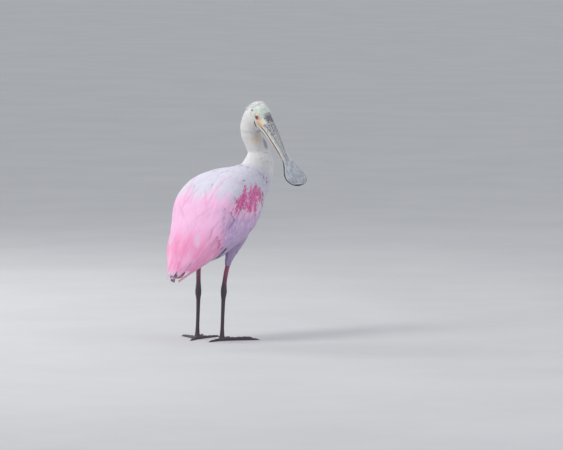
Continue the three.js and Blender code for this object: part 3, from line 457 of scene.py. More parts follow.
def add_vanes(
    shape, surface, rng, place, angle, length, width, way, bend, high, vary=0.0, stray=None, sign=1,
    low=-1.0, leave=0.5, tilt=0.3, camber=0.6, rows=6, columns=5, ragged=0.12, point=0.55, narrow=0.35,
    droop=0.6, dip=0.6, soft=0.6, bake_box=WHOLE_BAKE,
):
    """Adds many feathers that lie on a surface. Sizes are single numbers or one for each feather.

    way and bend are the mean and the spread of the turn from the lie and of the curve, in degrees. low,
    leave and high are the lifts of the root, of the place where it comes out and of the tip. The tips
    vary by a spread, and stray ones stand up to their own height more. tilt raises the lower edge over
    the upper one, camber arches the vane, ragged frays its edges, and point is where its tip starts.
    droop lowers the edges and dip the tip, and soft is how far the shading follows the surface.
    """
    many = len(place)
    way, bend = (sign * np.radians(rng.normal(*turn, many)) for turn in (way, bend))
    if vary:
        high = high + rng.normal(0, vary, many)
    if stray is not None:
        high = high + stray * rng.random(many)
    length, width, low, leave, high, tilt, camber = (
        np.broadcast_to(np.asarray(value, float), many)[:, None]
        for value in (length, width, low, leave, high, sign * tilt, camber)
    )
    angle = sign * angle
    t = np.linspace(0, 1, rows + 1) ** 0.85
    s = np.linspace(-1, 1, columns)
    shaft = [(place, angle)]
    for i in range(1, rows + 1):
        shaft.append(surface.walk(*shaft[-1], way + bend * t[i], length[:, 0] * (t[i] - t[i - 1])))
    shaft_place, shaft_angle = np.stack(shaft, -1)
    turn = way[:, None] + bend[:, None] * t
    narrowing = surface.girth(shaft_place, shaft_angle) / surface.girth(place, angle)[:, None]
    half = width / 2 * vane_profile(t, point) * np.clip(narrowing, narrow, 1.15)
    fray = 1 + ragged * rng.standard_normal((many, rows + 1, columns)) * np.abs(s) ** 2
    offset = half[..., None] * s * np.clip(fray, 0.7, 1.3)
    across = turn[..., None] + np.where(offset < 0, -math.pi / 2, math.pi / 2)
    spread = surface.walk(shaft_place[..., None], shaft_angle[..., None], across, np.abs(offset))
    fringe = np.clip(rng.standard_normal((many, 1, columns)), -1, 1) * FRINGE
    fringe = fringe * (length * (t[-1] - t[-2]))[..., None] * t[:, None] ** 6
    base, _, _, out = surface.lie(*surface.walk(*spread, turn[..., None], fringe))
    rooted = low + (leave - low) * (t / ROOT_SHARE)
    free = leave + (high - leave) * (1 - ((1 - t) / (1 - ROOT_SHARE)) ** 2)
    share = (half / (width / 2))[..., None]
    height = np.where(t < ROOT_SHARE, rooted, free)[..., None]
    height = height + tilt[..., None] * s * share * np.minimum(t / 0.4, 1)[:, None]
    height = height + camber[..., None] * share * (1 - np.abs(s) ** 1.6)
    height = height - droop * np.abs(s) ** 3 * np.minimum(t / 0.3, 1)[:, None]
    height = height - dip * smooth(0.8, 1.05, t)[:, None]
    # One draw for each feather is left unused, so that the later draws stay as they are.
    rng.standard_normal(many)
    points = base + out * height[..., None]
    own = np.cross(np.gradient(points, axis=1), np.gradient(points, axis=2))
    own = unit(np.where(dot(own, out)[..., None] < 0, -own, own))
    root = round_bake(bake_box, place / surface.last, angle)[:, None, None]
    shape.grid(
        points,
        root + PATCH * pairs_of(s / 2, t[:, None] - 0.5),
        normals=unit(out * soft + own * (1 - soft)),
        tuft=rng.random((many, 1, 1)),
        along=t[:, None],
        across=s,
        reach=(length * t)[..., None],
    )


def scatter(surface, rng, places, spacing, keep=None, angles=(-math.pi, math.pi)):
    """Spreads roots evenly over part of a surface. spacing is (places, distances between roots)."""
    tries = 6
    grid_place = np.linspace(*places, 200)
    grid_angle = np.linspace(*angles, 180)
    place_step, angle_step = grid_place[1] - grid_place[0], grid_angle[1] - grid_angle[0]
    place, angle = np.meshgrid(grid_place, grid_angle, indexing="ij")
    _, rear, around, _ = surface.lie(place, angle)
    weight = np.linalg.norm(np.cross(rear, around), axis=-1) / np.interp(place, *spacing) ** 2
    total = weight.sum()
    wanted = int(total * (place_step * angle_step) * tries)
    chosen = rng.choice(weight.size, wanted, p=(weight / total).ravel())
    place = place.ravel()[chosen] + (rng.random(wanted) - 0.5) * place_step
    angle = angle.ravel()[chosen] + (rng.random(wanted) - 0.5) * angle_step
    place = np.clip(place, *places)
    if keep:
        allowed = keep(place, angle)
        place, angle = place[allowed], angle[allowed]
    points, gaps = surface.point(place, angle), np.interp(place, *spacing)
    keys = np.floor(points / gaps.max()).astype(int)
    near = [(a, b, c) for a in (-1, 0, 1) for b in (-1, 0, 1) for c in (-1, 0, 1)]
    cells = {}
    kept = []
    for i, ((a, b, c), (x, y, z), gap) in enumerate(zip(keys.tolist(), points.tolist(), gaps.tolist())):
        close = any(
            (ox - x) ** 2 + (oy - y) ** 2 + (oz - z) ** 2 < gap * gap
            for da, db, dc in near
            for ox, oy, oz in cells.get((a + da, b + db, c + dc), ())
        )
        if not close:
            cells.setdefault((a, b, c), []).append((x, y, z))
            kept.append(i)
    return place[kept], angle[kept]


# Shader nodes


class Shader:
    """Adds and links the nodes of a material or a node group."""

    def __init__(self, tree):
        self.tree = tree

    def add(self, kind, inputs=None, **settings):
        node = self.tree.nodes.new(kind)
        for key, value in settings.items():
            setattr(node, key, value)
        for key, value in (inputs or {}).items():
            self.feed(node.inputs[key], value)
        return node

    def feed(self, socket, value):
        if isinstance(value, bpy.types.NodeSocket):
            self.tree.links.new(value, socket)
        else:
            socket.default_value = (*value, 1.0) if isinstance(value, Color) else value

    def math(self, operation, a, b=0.0):
        return self.add("ShaderNodeMath", {0: a, 1: b}, operation=operation).outputs[0]

    def times(self, first, *others):
        for other in others:
            first = self.math("MULTIPLY", first, other)
        return first

    def plus(self, first, *others):
        for other in others:
            first = self.math("ADD", first, other)
        return first

    def minus(self, a, b):
        return self.math("SUBTRACT", a, b)

    def most(self, a, b):
        return self.math("MAXIMUM", a, b)

    def size(self, value):
        return self.math("ABSOLUTE", value)

    def ramp(self, value, low, high, start=0.0, end=1.0):
        inputs = {"Value": value, "From Min": low, "From Max": high, "To Min": start, "To Max": end}
        return self.add("ShaderNodeMapRange", inputs, interpolation_type="SMOOTHSTEP").outputs[0]

    def mix(self, share, a, b, blend="MIX"):
        node = self.add("ShaderNodeMix", {0: share}, data_type="RGBA", blend_type=blend)
        for socket, colour in zip([s for s in node.inputs if s.type == "RGBA"], (a, b)):
            self.feed(socket, colour)
        return next(s for s in node.outputs if s.type == "RGBA")

    def over(self, under, paint, *shares):
        """Lays a paint over a colour, where all the shares let it."""
        return self.mix(self.times(*shares), under, paint)

    def shade(self, colour, light):
        """The colour made lighter or darker."""
        grey = self.add("ShaderNodeCombineColor", {0: light, 1: light, 2: light}).outputs[0]
        return self.mix(1.0, colour, grey, "MULTIPLY")

    def vector(self, operation, a, b=(0.0, 0.0, 0.0)):
        node = self.add("ShaderNodeVectorMath", {0: a, 1: b}, operation=operation)
        return node.outputs[1] if operation in ("LENGTH", "DOT_PRODUCT") else node.outputs[0]

    def join(self, x, y, z):
        return self.add("ShaderNodeCombineXYZ", {0: x, 1: y, 2: z}).outputs[0]

    def noise(self, vector, scale, detail=2.0, rough=0.5):
        inputs = {"Vector": vector, "Scale": scale, "Detail": detail, "Roughness": rough}
        return self.add("ShaderNodeTexNoise", inputs).outputs[0]

    def cells(self, vector, scale, even=1.0, feature="DISTANCE_TO_EDGE"):
        inputs = {"Vector": vector, "Scale": scale, "Randomness": even}
        return self.add("ShaderNodeTexVoronoi", inputs, feature=feature).outputs[0]

    def mapped(self, vector, location, turn, scale):
        inputs = {"Vector": vector, "Location": location, "Rotation": turn, "Scale": scale}
        return self.add("ShaderNodeMapping", inputs, vector_type="TEXTURE").outputs[0]

    def stretch(self, vector, turn, scale):
        """Turns a vector and scales it, so a pattern can run along one direction."""
        return self.mapped(vector, (0.0, 0.0, 0.0), turn, scale)

    def here(self):
        return self.add("ShaderNodeTexCoord").outputs["Object"]

    def value(self, name):
        return self.add("ShaderNodeAttribute", attribute_name=name).outputs["Fac"]

    def group(self, tree, inputs=None):
        node = self.add("ShaderNodeGroup", node_tree=tree)
        for key, value in (inputs or {}).items():
            self.feed(node.inputs[key], value)
        return node


def new_group(name, inputs, outputs):
    """A shader node group with named sockets, and the sockets inside it."""
    tree = bpy.data.node_groups.new(name, "ShaderNodeTree")
    kinds = {"value": "NodeSocketFloat", "colour": "NodeSocketColor", "vector": "NodeSocketVector"}
    for key, (kind, default) in inputs.items():
        socket = tree.interface.new_socket(key, in_out="INPUT", socket_type=kinds[kind])
        socket.default_value = default
    for key, kind in outputs.items():
        tree.interface.new_socket(key, in_out="OUTPUT", socket_type=kinds[kind])
    shader = Shader(tree)
    start, end = shader.add("NodeGroupInput"), shader.add("NodeGroupOutput")
    return tree, shader, start.outputs, end.inputs


def new_material(name, constants=None):
    """A material with one surface shader, whose constants are set on its own sockets."""
    material = bpy.data.materials.new(name)
    material.use_nodes = True
    material.node_tree.nodes.clear()
    shader = Shader(material.node_tree)
    surface = shader.add("ShaderNodeBsdfPrincipled", constants)
    shader.add("ShaderNodeOutputMaterial", {"Surface": surface.outputs[0]})
    return material, shader, surface.inputs


def finish(shader, surface, colour, rough, height, strength, distance):
    """Feeds a colour, a roughness and the relief of a height into a material."""
    shader.feed(surface["Base Color"], colour)
    shader.feed(surface["Roughness"], rough)
    bump = shader.add("ShaderNodeBump", {"Height": height, "Strength": strength, "Distance": distance})
    shader.feed(surface["Normal"], bump.outputs[0])


def spot_group():
    """A soft egg-shaped mask with a ragged edge, at any place."""
    if "Soft spot" in bpy.data.node_groups:
        return bpy.data.node_groups["Soft spot"]
    zero = (0.0, 0.0, 0.0)
    inputs = {"Place": ("vector", zero), "Centre": ("vector", zero), "Turn": ("vector", zero)}
    inputs |= {"Size": ("vector", (0.01, 0.01, 0.01)), "Softness": ("value", 0.3), "Rag": ("value", 0.0)}
    tree, shader, start, end = new_group("Soft spot", inputs, {"Mask": "value"})
    local = shader.mapped(start["Place"], start["Centre"], start["Turn"], start["Size"])
    away = shader.plus(shader.vector("LENGTH", local), start["Rag"])
    inner, outer = shader.minus(1.0, start["Softness"]), shader.plus(1.0, start["Softness"])
    shader.feed(end["Mask"], shader.ramp(away, inner, outer, 1.0, 0.0))
    return tree


def metres(values):
    return tuple(float(v) * MM for v in values)


def spot(shader, place, centre, size, softness=0.3, rag=0.0, turn=(0.0, 0.0, 0.0)):
    """One soft spot. Its centre and size are in millimetres of the bird's own space."""
    inputs = {"Place": place, "Centre": metres(centre), "Size": metres(size)}
    inputs |= {"Turn": tuple(math.radians(v) for v in turn), "Softness": softness, "Rag": rag}
    return shader.group(spot_group(), inputs).outputs["Mask"]


def bird_place(shader):
    """Where a point lies in the bird's own space, in metres, and its three parts."""
    place = shader.vector("SUBTRACT", shader.here(), metres(SHIFT))
    return place, *shader.add("ShaderNodeSeparateXYZ", {0: place}).outputs


def skull_place(shader, place):
    """How far a point lies ahead of, above and beside the middle between the eyes, in metres."""
    away = shader.vector("SUBTRACT", place, metres(HEAD_CENTRE))
    ahead, above, left = (
        shader.vector("DOT_PRODUCT", away, tuple(float(v) for v in axis))
        for axis in (SKULL_AHEAD, SKULL_UP, HEAD_LEFT)
    )
    return shader.join(ahead, above, shader.size(left)), ahead, above


# Pink lines where plumes part on the back and wing, partly deeper pink and partly painted shade in the
# grooves: both ends (outward, y, z) and half the width.
SHADED_SEAMS = (
    ((8, 30, 305), (26, 54, 271), 2.0),
    ((31, 30, 305), (26, 54, 271), 2.2),
    ((42, 46, 278), (14, 66, 253), 2.4),
    ((41, -31, 337), (35, 1, 327), 2.0),
    ((35, 1, 327), (31, 32, 303), 3.4),
    ((53, -5, 323), (62, -27, 318), 2.2),
    ((24, 82, 221), (14, 100, 194), 2.6),
    ((35, 82, 213), (18, 103, 187), 2.8),
    ((18, 103, 187), (4, 116, 171), 3.0),
    ((63, 43, 240), (60, 56, 204), 2.6),
    ((60, 56, 204), (44, 56, 170), 2.6),
    ((66, 38, 234), (58, 53, 190), 1.8),
    ((68, 18, 262), (64, 40, 226), 1.8),
)
TRUNK_AXIS_HEIGHT = 235.0
# The bare grey skin down the front of the throat.
THROAT_MIDDLE = (-15, -178, 401)
THROAT_SIZE = (9, 8, 17)


def seam(shader, place, start, end, half_width, rag):
    """A narrow soft line on the body between two points."""
    start, end = np.array(start, float), np.array(end, float)
    middle = (start + end) / 2
    along = unit(end - start)
    out = middle - np.array((0, middle[1], TRUNK_AXIS_HEIGHT))
    out = unit(out - along * np.dot(out, along))
    axes = Matrix((along, np.cross(out, along), out)).transposed()
    turn = tuple(math.degrees(v) for v in axes.to_euler("XYZ"))
    size = (np.linalg.norm(end - start) / 2 + 3, half_width * 1.1, 22)
    return spot(shader, place, middle, size, 0.5, rag, turn)


def plumage_group():
    """The markings that skin and feathers share."""
    if "Plumage" in bpy.data.node_groups:
        return bpy.data.node_groups["Plumage"]
    paints = bpy.context.scene.spoonbill_colours
    tree, shader, _, end = new_group("Plumage", {}, {"Colour": "colour", "Bare": "value"})
    mix, over, ramp, times = shader.mix, shader.over, shader.ramp, shader.times
    plus, minus, noise, stretch = shader.plus, shader.minus, shader.noise, shader.stretch
    place, x, y, z = bird_place(shader)
    both = shader.join(shader.size(x), y, z)

    # Fine streaks run along the lie of the feathers, from the shoulder to the tail.
    lie = (math.radians(-52), 0.0, 0.0)
    streak = noise(stretch(both, lie, (0.0022, 0.02, 0.0022)), 1.0, 3.0, 0.6)
    broad = noise(stretch(both, lie, (0.016, 0.04, 0.014)), 1.0, 2.0, 0.5)
    cloud = noise(place, 55.0, 3.0, 0.55)
    uneven, hair, speckle = (minus(pattern, 0.5) for pattern in (broad, streak, cloud))
    cloudy = ramp(cloud, 0.35, 0.65)

    # White mantle, then pale pink, then deeper pink down the back and wings.
    level = plus(minus(z, times(y, 0.3)), times(uneven, 0.075), times(hair, 0.03))
    colour = mix(ramp(level, 0.312, 0.268), paints.mantle, paints.wing)
    colour = over(colour, paints.wing_deep, ramp(level, 0.235, 0.165), ramp(broad, 0.3, 0.65, 0.4, 1.0))
    colour = over(colour, paints.wing_deep, ramp(streak, 0.55, 0.8), ramp(level, 0.32, 0.28), 0.45)
    colour = over(colour, paints.mantle, ramp(broad, 0.6, 0.75), 0.5)

    # Lavender flanks below the bend of the wing and in front of the long wing feathers; their two paints are
    # darkened in part as painted shade.
    front = ramp(plus(y, times(uneven, 0.02)), 0.056, 0.036)
    below = ramp(plus(z, times(hair, 0.035), times(uneven, 0.09)), 0.274, 0.244)
    flank = mix(ramp(streak, 0.4, 0.65), paints.flank, paints.belly)
    colour = over(colour, flank, front, below)
    # Painted shade: the lower front of the flank is darkened towards grey-lavender.
    flank_shade_mask = spot(shader, both, (42, -18, 172), (46, 50, 44), 0.6, uneven)
    colour = over(colour, paints.flank_painted_shade, flank_shade_mask, 0.6)

    # Deeper pink lines where plumes part, with painted shade in the grooves between them.
    ragged = times(hair, 1.2)
    for start, stop, half_width in SHADED_SEAMS:
        colour = over(colour, paints.seam, seam(shader, both, start, stop, half_width, ragged), 0.26)

    # Carmine lesser coverts at the bend of the wing.
    rag = plus(times(hair, 1.5), times(uneven, 1.6))
    patch = spot(shader, both, (66, -45, 287), (24, 60, 25), 0.16, rag, (-12, 0, 0))
    carmine = mix(ramp(streak, 0.4, 0.62), paints.carmine, paints.carmine_pale)
    scales = shader.cells(stretch(both, lie, (0.006, 0.010, 0.006)), 1.0)
    carmine = over(carmine, paints.wing, ramp(scales, 0.13, 0.02), ramp(broad, 0.4, 0.6, 0.25, 0.75))
    colour = over(colour, carmine, patch)

    # Orange tail feathers below the pink coverts, and a pale end.
    pale_end = spot(shader, place, (0, 134, 128), (30, 22, 18), 0.4, hair, (-45, 0, 0))
    colour = over(colour, paints.mantle, pale_end, 0.7)
    colour = over(colour, paints.tail, spot(shader, both, (14, 127, 130), (7, 9, 6), 0.4, hair, (-45, 0, 0)))

    # Off-white neck and head, with grey specks low on the neck.
    up_neck = ramp(minus(z, times(y, 0.5)), 0.405, 0.43)
    colour = over(colour, mix(ramp(cloud, 0.35, 0.7), paints.neck, paints.neck_shade), up_neck)
    specks = ramp(noise(place, 330.0, 2.0, 0.6), 0.6, 0.7)
    speckled = spot(shader, place, (-14, -178, 372), (34, 32, 34), 0.4)
    colour = over(colour, paints.speck, specks, speckled, ramp(cloud, 0.45, 0.6), 0.6)

    # A tan tint on the neck and the cheek.
    skull, ahead, above = skull_place(shader, place)
    tan_neck = spot(shader, place, (-6, -158, 406), (12, 14, 11), 0.7, speckle)
    colour = over(colour, paints.cheek, tan_neck, 0.55)
    colour = over(colour, paints.cheek, spot(shader, skull, (-6, -26, 14), (8, 7, 10), 0.7, speckle), 0.3)

    # Bare greenish skin on the face, round the eye, on the brow and towards the ear.
    on_head = spot(shader, place, skull_point(-8, -8), (44, 44, 44), 0.15)
    face = ramp(plus(ahead, times(speckle, 0.012)), 0.002, 0.007)
    face = times(face, on_head, ramp(above, -0.022, -0.014))
    behind_eye = spot(shader, skull, (-4, 8, 18), (17.5, 14.5, 15), 0.25, times(speckle, 0.9))
    brow = spot(shader, skull, (8, 17, 0), (12, 8, 14), 0.3, speckle)
    bare = shader.most(face, shader.most(behind_eye, brow))
    skin = mix(cloudy, paints.face, paints.face_pale)

    # Orange skin in front of the eye, deepest at the corner of the mouth.
    grains = ramp(noise(place, 430.0, 2.0, 0.6), 0.35, 0.55)
    lore = mix(grains, paints.lore, paints.lore_pale)
    lore = over(lore, paints.gape, spot(shader, skull, (6, -8, 16), (5, 4.5, 9), 0.6, speckle), 0.7)
    skin = over(skin, lore, spot(shader, skull, (10, -5, 15), (8, 12, 14), 0.4, times(speckle, 1.4)), 0.9)

    # Pale and slate mottles on the forehead.
    spots = ramp(noise(place, 420.0, 3.0, 0.62), 0.52, 0.62)
    mottled = times(ramp(ahead, 0.002, 0.012), ramp(above, 0.004, 0.012))
    skin = over(skin, paints.bill_pale, mottled, 0.45)
    skin = over(skin, paints.bill_mottle, spots, mottled, 0.7)
    slate = spot(shader, skull, (13, 13, 0), (7, 8, 9), 0.3, times(speckle, 1.6))
    skin = over(skin, paints.bill_mottle, slate, ramp(grains, 0.0, 1.0, 0.9, 0.35))
    colour = over(colour, skin, bare)

    # Grey skin of the throat, the dark ear opening, and painted shade in the crease behind the mouth.
    throat = spot(shader, place, THROAT_MIDDLE, THROAT_SIZE, 0.3, times(speckle, 0.6))
    colour = over(colour, mix(cloudy, paints.throat, paints.throat_pale), throat, 0.9)
    ear = spot(shader, skull, EAR, (2.0, 2.6, 6), 0.4)
    # Painted shade in the crease behind the mouth.
    crease = spot(shader, skull, (2, -17, 16), (1.5, 9, 9), 0.5, times(speckle, 3.0), (0, 0, 24))
    for dark in (ear, crease):
        colour = over(colour, paints.dark_skin_and_shade, dark, 0.85)

    shader.feed(end["Colour"], colour)
    shader.feed(end["Bare"], bare)
    return tree


def skin_material():
    """Plucked skin under the coat, bare and wrinkled on the face."""
    material, shader, surface = new_material("Spoonbill skin")
    plumage = shader.group(plumage_group()).outputs
    here = shader.here()
    pores = shader.cells(here, 1100.0, feature="F1")
    colour = shader.shade(plumage["Colour"], shader.ramp(pores, 0.0, 0.6, 0.9, 1.04))
    rough = shader.ramp(plumage["Bare"], 0.0, 1.0, 0.85, 0.5)
    height = shader.plus(shader.times(pores, 0.5), shader.noise(here, 260.0, 4.0, 0.6))
    finish(shader, surface, colour, rough, height, 0.5, 0.0006)
    return material


# The depth of the barbs and the sheen of each kind of feather.
COATS = {
    "Body feathers": (0.00012, 0.25),
    "Neck feathers": (0.0001, 0.25),
    "Head feathers": (0.00008, 0.2),
    "Wing feathers": (0.00015, 0.2),
}


def feather_material(name):
    """Feathers: the shared markings, with a shaft, barbs, small differences between vanes and painted shade
    towards the root.
    """
    if name in bpy.data.materials:
        return bpy.data.materials[name]
    barb_depth, sheen = COATS[name]
    constants = {"Sheen Weight": sheen, "Sheen Roughness": 0.5, "Specular IOR Level": 0.3}
    material, shader, surface = new_material(name, constants)
    ramp, times = shader.ramp, shader.times
    colour = shader.group(plumage_group()).outputs["Colour"]
    tuft, along, across, reach = (shader.value(key) for key in ("tuft", "along", "across", "reach"))
    # Barbs leave the shaft at a slant and clump into fine streaks.
    off_shaft = shader.size(across)
    slant = shader.minus(times(reach, 0.45), times(off_shaft, 2.6))
    barbs = shader.noise(shader.join(slant, times(across, 0.6), times(tuft, 37.0)), 2.6, 2.0, 0.6)
    shaft = ramp(off_shaft, 0.03, 0.16, 1.0, 0.0)
    light = times(ramp(tuft, 0.0, 1.0, 0.965, 1.03), ramp(barbs, 0.3, 0.7, 0.96, 1.03))
    # Darker towards the root and a little lighter at the tip: painted shade where the feathers overlap.
    light = times(light, ramp(along, 0.0, 0.75, 0.93, 1.02))
    colour = shader.over(shader.shade(colour, light), bpy.context.scene.spoonbill_colours.shaft, shaft, 0.18)
    finish(shader, surface, colour, 0.72, shader.plus(barbs, times(shaft, 0.6)), 0.3, barb_depth)
    return material


# Settings


def length_property(name, description, default, **limits):
    return FloatProperty(
        name=name, description=description, default=default, unit="LENGTH", subtype="DISTANCE", **limits
    )


def colour_property(name, description, default):
    return FloatVectorProperty(
        name=name, description=description, default=default, subtype="COLOR", size=3, min=0, max=1
    )


class SpoonbillSizes(bpy.types.PropertyGroup):
    """How close the feathers are, and how far the camera stands."""

    body_spacing: length_property(
        "Body feather spacing", "Distance between the roots of the body feathers", 0.0048, min=0.003
    )
    neck_spacing: length_property(
        "Neck feather spacing", "Distance between the roots of the neck feathers", 0.0016, min=0.0015
    )
    head_spacing: length_property(
        "Head feather spacing", "Distance between the roots of the head feathers", 0.0011, min=0.001
    )
    seed: IntProperty(name="Seed", description="Draws another coat of the same kind", default=7, min=0)
    camera_distance: length_property("Camera distance", "Distance from the bird to the camera", 12.0)


class SpoonbillColours(bpy.types.PropertyGroup):
    """The colours of the bird and of the stage."""

    mantle: colour_property("Mantle", "Upper back between the wings", (0.60, 0.58, 0.67))
    wing: colour_property("Wing", "Pale pink of the wing", (0.82, 0.46, 0.68))
    wing_deep: colour_property("Deep wing", "Deeper pink towards the tail and in streaks", (0.78, 0.27, 0.48))
    # The flank and belly paints are the flanks' own lavender, darkened in part as painted shade.
    flank: colour_property("Flank", "Lavender feathers under the wing", (0.47, 0.29, 0.52))
    belly: colour_property("Belly", "Pale streaks in the flank", (0.60, 0.47, 0.68))
    # Painted shade over the lower front of the flank.
    flank_painted_shade: colour_property("Painted flank shade", "Painted shade on the lower flank", (0.24, 0.19, 0.33))
    carmine: colour_property("Carmine", "Small feathers at the bend of the wing", (0.54, 0.02, 0.17))
    carmine_pale: colour_property("Pale carmine", "Streaks in the carmine patch", (0.64, 0.12, 0.38))
    # Deeper pink of the plumes' partings, partly painted shade in the grooves.
    seam: colour_property("Seams and groove shade", "Pink lines and painted groove shade where plumes part", (0.76, 0.17, 0.38))
    tail: colour_property("Tail", "Orange tail feathers", (0.70, 0.25, 0.10))
    neck: colour_property("Neck", "Off-white neck", (0.66, 0.655, 0.64))
    neck_shade: colour_property("Neck shade", "Greyer parts of the neck", (0.66, 0.66, 0.655))
    speck: colour_property("Specks", "Grey specks low on the neck", (0.16, 0.16, 0.17))
    cheek: colour_property("Cheek", "Tan tint of the cheek and neck", (0.66, 0.50, 0.33))
    face: colour_property("Face", "Bare greenish skin round the eye", (0.42, 0.51, 0.44))
    face_pale: colour_property("Pale face", "Paler parts of the bare skin", (0.60, 0.65, 0.57))
    lore: colour_property("Lore", "Yellow-orange skin in front of the eye", (0.66, 0.51, 0.32))
    gape: colour_property("Gape", "Orange skin at the corner of the mouth", (0.64, 0.34, 0.14))
    lore_pale: colour_property("Pale lore", "Cream bumps in front of the eye", (0.64, 0.64, 0.54))
    throat: colour_property("Throat", "Lilac-grey skin of the throat", (0.20, 0.19, 0.24))
    throat_pale: colour_property("Pale throat", "Paler parts of the throat's skin", (0.33, 0.33, 0.38))
    # Dark skin of the ear and the inside of the bill, also used as painted shade in the crease behind the
    # mouth.
    dark_skin_and_shade: colour_property("Dark skin", "Ear, creases and inside of the bill", (0.05, 0.04, 0.05))
    shaft: colour_property("Shaft", "Feather shafts", (0.86, 0.74, 0.78))
    bill: colour_property("Bill", "Grey horn of the bill", (0.29, 0.30, 0.33))
    bill_pale: colour_property("Pale bill", "Pale bumps and the jaw's edge", (0.66, 0.67, 0.62))
    bill_dark: colour_property("Dark bill", "Mottling and rim of the bill", (0.040, 0.030, 0.045))
    bill_mottle: colour_property("Mottling", "Slate mottles at the base of the bill", (0.085, 0.08, 0.10))
    bill_far: colour_property("Spoon", "Blue-grey horn of the spoon", (0.44, 0.48, 0.52))
    bill_cream: colour_property("Lower jaw", "Cream side of the lower jaw", (0.66, 0.66, 0.55))
    mouth: colour_property("Mouth", "Orange-brown edge of the mouth", (0.34, 0.13, 0.06))
    iris: colour_property("Iris", "Red iris", (0.62, 0.05, 0.01))
    shin: colour_property("Shin", "Pinkish red skin above the hock", (0.46, 0.11, 0.18))
    leg: colour_property("Leg", "Dark skin of the leg and foot", (0.075, 0.05, 0.07))
    claw: colour_property("Claw", "Dark horn of the claws", (0.02, 0.018, 0.02))
    floor: colour_property("Floor", "Pale floor of the stage", (0.52, 0.52, 0.52))


def seeded(offset):
    return np.random.default_rng(bpy.context.scene.spoonbill_sizes.seed * 100 + offset)


# The skin


def wing_core(shape, sign):
    """The flesh of one folded wing, as a closed band of the envelope."""
    places = np.linspace(1.0, WING_FRONT - 0.05, 46)
    top, bottom = (np.radians(spline(edge, places)) for edge in (WING_TOP, WING_BOTTOM))
    # Towards the shoulder the band reaches over the back and the flank, under the plumes that cover it.
    top = top + (math.radians(-2) - top) * smooth(2.5, 4, places)
    bottom = bottom + math.radians(20) * smooth(4.2, 5.2, places)
    angle = top[:, None] + (bottom - top)[:, None] * np.linspace(0, 1, 26)
    place = np.broadcast_to(places[:, None], angle.shape)
    outer_lift = 0.7 - 1.2 * smooth(WING_FRONT - 1.2, WING_FRONT, place)
    outer = WING_SURFACE.point(place, sign * angle, outer_lift)
    inner = WING_SURFACE.point(place, sign * angle[:, ::-1], -7.0)
    bake = pairs_of(0.02 + 0.3 * place / WING_FRONT, 0.85 + 0.1 * angle / math.pi + 0.01 * sign)
    both = np.concatenate((bake, bake[:, ::-1]), 1)
    shape.grid(np.concatenate((outer, inner), 1), both, wrap=True, cap=True)


def eye_middle(sign):
    """The middle of one eyeball."""
    return skull_point(*EYE_SHIFT, sign * EYE_SIDE)


# Across a lid, from under the edge outwards: turn past the opening in radians, height over the eyeball.
LID_PROFILE = (
    (0.06, -0.6), (0.0, -0.1), (-0.02, 0.25), (0.0, 0.6), (0.05, 0.85), (0.11, 0.88),
    (0.17, 0.7), (0.23, 0.5), (0.3, 0.52), (0.4, 0.4), (0.55, 0.1), (0.75, -0.8),
)


def lids(shape, sign):
    """The two lids of one eye: a soft oval ring of small beads and folds that hugs the eyeball."""
    turn = np.linspace(0, FULL_TURN, 128, endpoint=False)
    past, height = spline(LID_PROFILE, np.linspace(0, len(LID_PROFILE) - 1, 30)).T[..., None]
    front_corner = 0.5 * hump((turn + 0.3 + math.pi) % FULL_TURN - math.pi, 0.3)
    ahead = (EYE_OPENING[0] + front_corner) * np.cos(turn)
    above = EYE_OPENING[1] * np.sin(turn)
    polar = np.arcsin(np.hypot(ahead, above) / EYEBALL) + past
    around = np.arctan2(above, ahead)
    beads = 0.07 * np.sin(turn * 41) * hump(past - 0.08, 0.09)
    folds = 0.06 * np.sin(past * 62 + 0.4 * np.sin(turn * 5)) * smooth(0.15, 0.3, past)
    reach = EYEBALL + height + beads + folds
    base = np.stack((np.sin(polar) * np.cos(around), np.sin(polar) * np.sin(around), np.cos(polar)), -1)
    axes = np.stack((SKULL_AHEAD, SKULL_UP, HEAD_LEFT * sign))
    shape.grid(eye_middle(sign) + (base * reach[..., None]) @ axes, (0.9, 0.5 + 0.04 * sign), wrap=True)


def face_relief(points, out, place):
    """Moves the skin of the head in and out at the ears, the jaw's crease, the eyes and the bill."""
    ahead, above, left = along_axes(points, SKULL_AHEAD, SKULL_UP)
    ear = np.hypot(ahead - EAR[0], above - EAR[1])
    depth = 0.7 * hump(ear - 3.2, 1.1) - 2.4 * hump(ear, 1.9)
    near = (np.abs(left) > 8) & (ahead > -60) & (ahead < 20)
    crease = np.hypot(ahead - 1.5 + (above + 15) * 0.45, np.maximum(np.abs(above + 15) - 6, 0) / 2)
    depth = depth - 0.4 * hump(crease)
    eye = np.hypot((ahead - EYE_SHIFT[0]) / 1.08, above - EYE_SHIFT[1])
    depth = depth + 0.45 * hump(eye - 9.2, 1.4) - 0.8 * np.exp(-((eye / 7.4) ** 8))
    edge = 0.5 * smooth(FACE_EDGE - 0.6, FACE_EDGE, place)
    return points + out * (depth * near - edge)[..., None]


TAIL_ROOT = np.array((0.0, 84.0, 176.0))
TAIL_TIP = np.array((0.0, 131.0, 131.0))
TAIL_AHEAD = unit(TAIL_TIP - TAIL_ROOT)
TAIL_UP = unit(np.cross(LEFT, TAIL_AHEAD))
TAIL_LENGTH = float(np.linalg.norm(TAIL_TIP - TAIL_ROOT))


def local_points(origin, axes, distances):
    """Points from arrays of distances along axes."""
    parts = np.broadcast_arrays(*distances)
    return origin + sum(axis * part[..., None] for axis, part in zip(axes, parts))


def tail_point(distance, left, above):
    return local_points(TAIL_ROOT, (TAIL_AHEAD, LEFT, TAIL_UP), (distance, left, above))


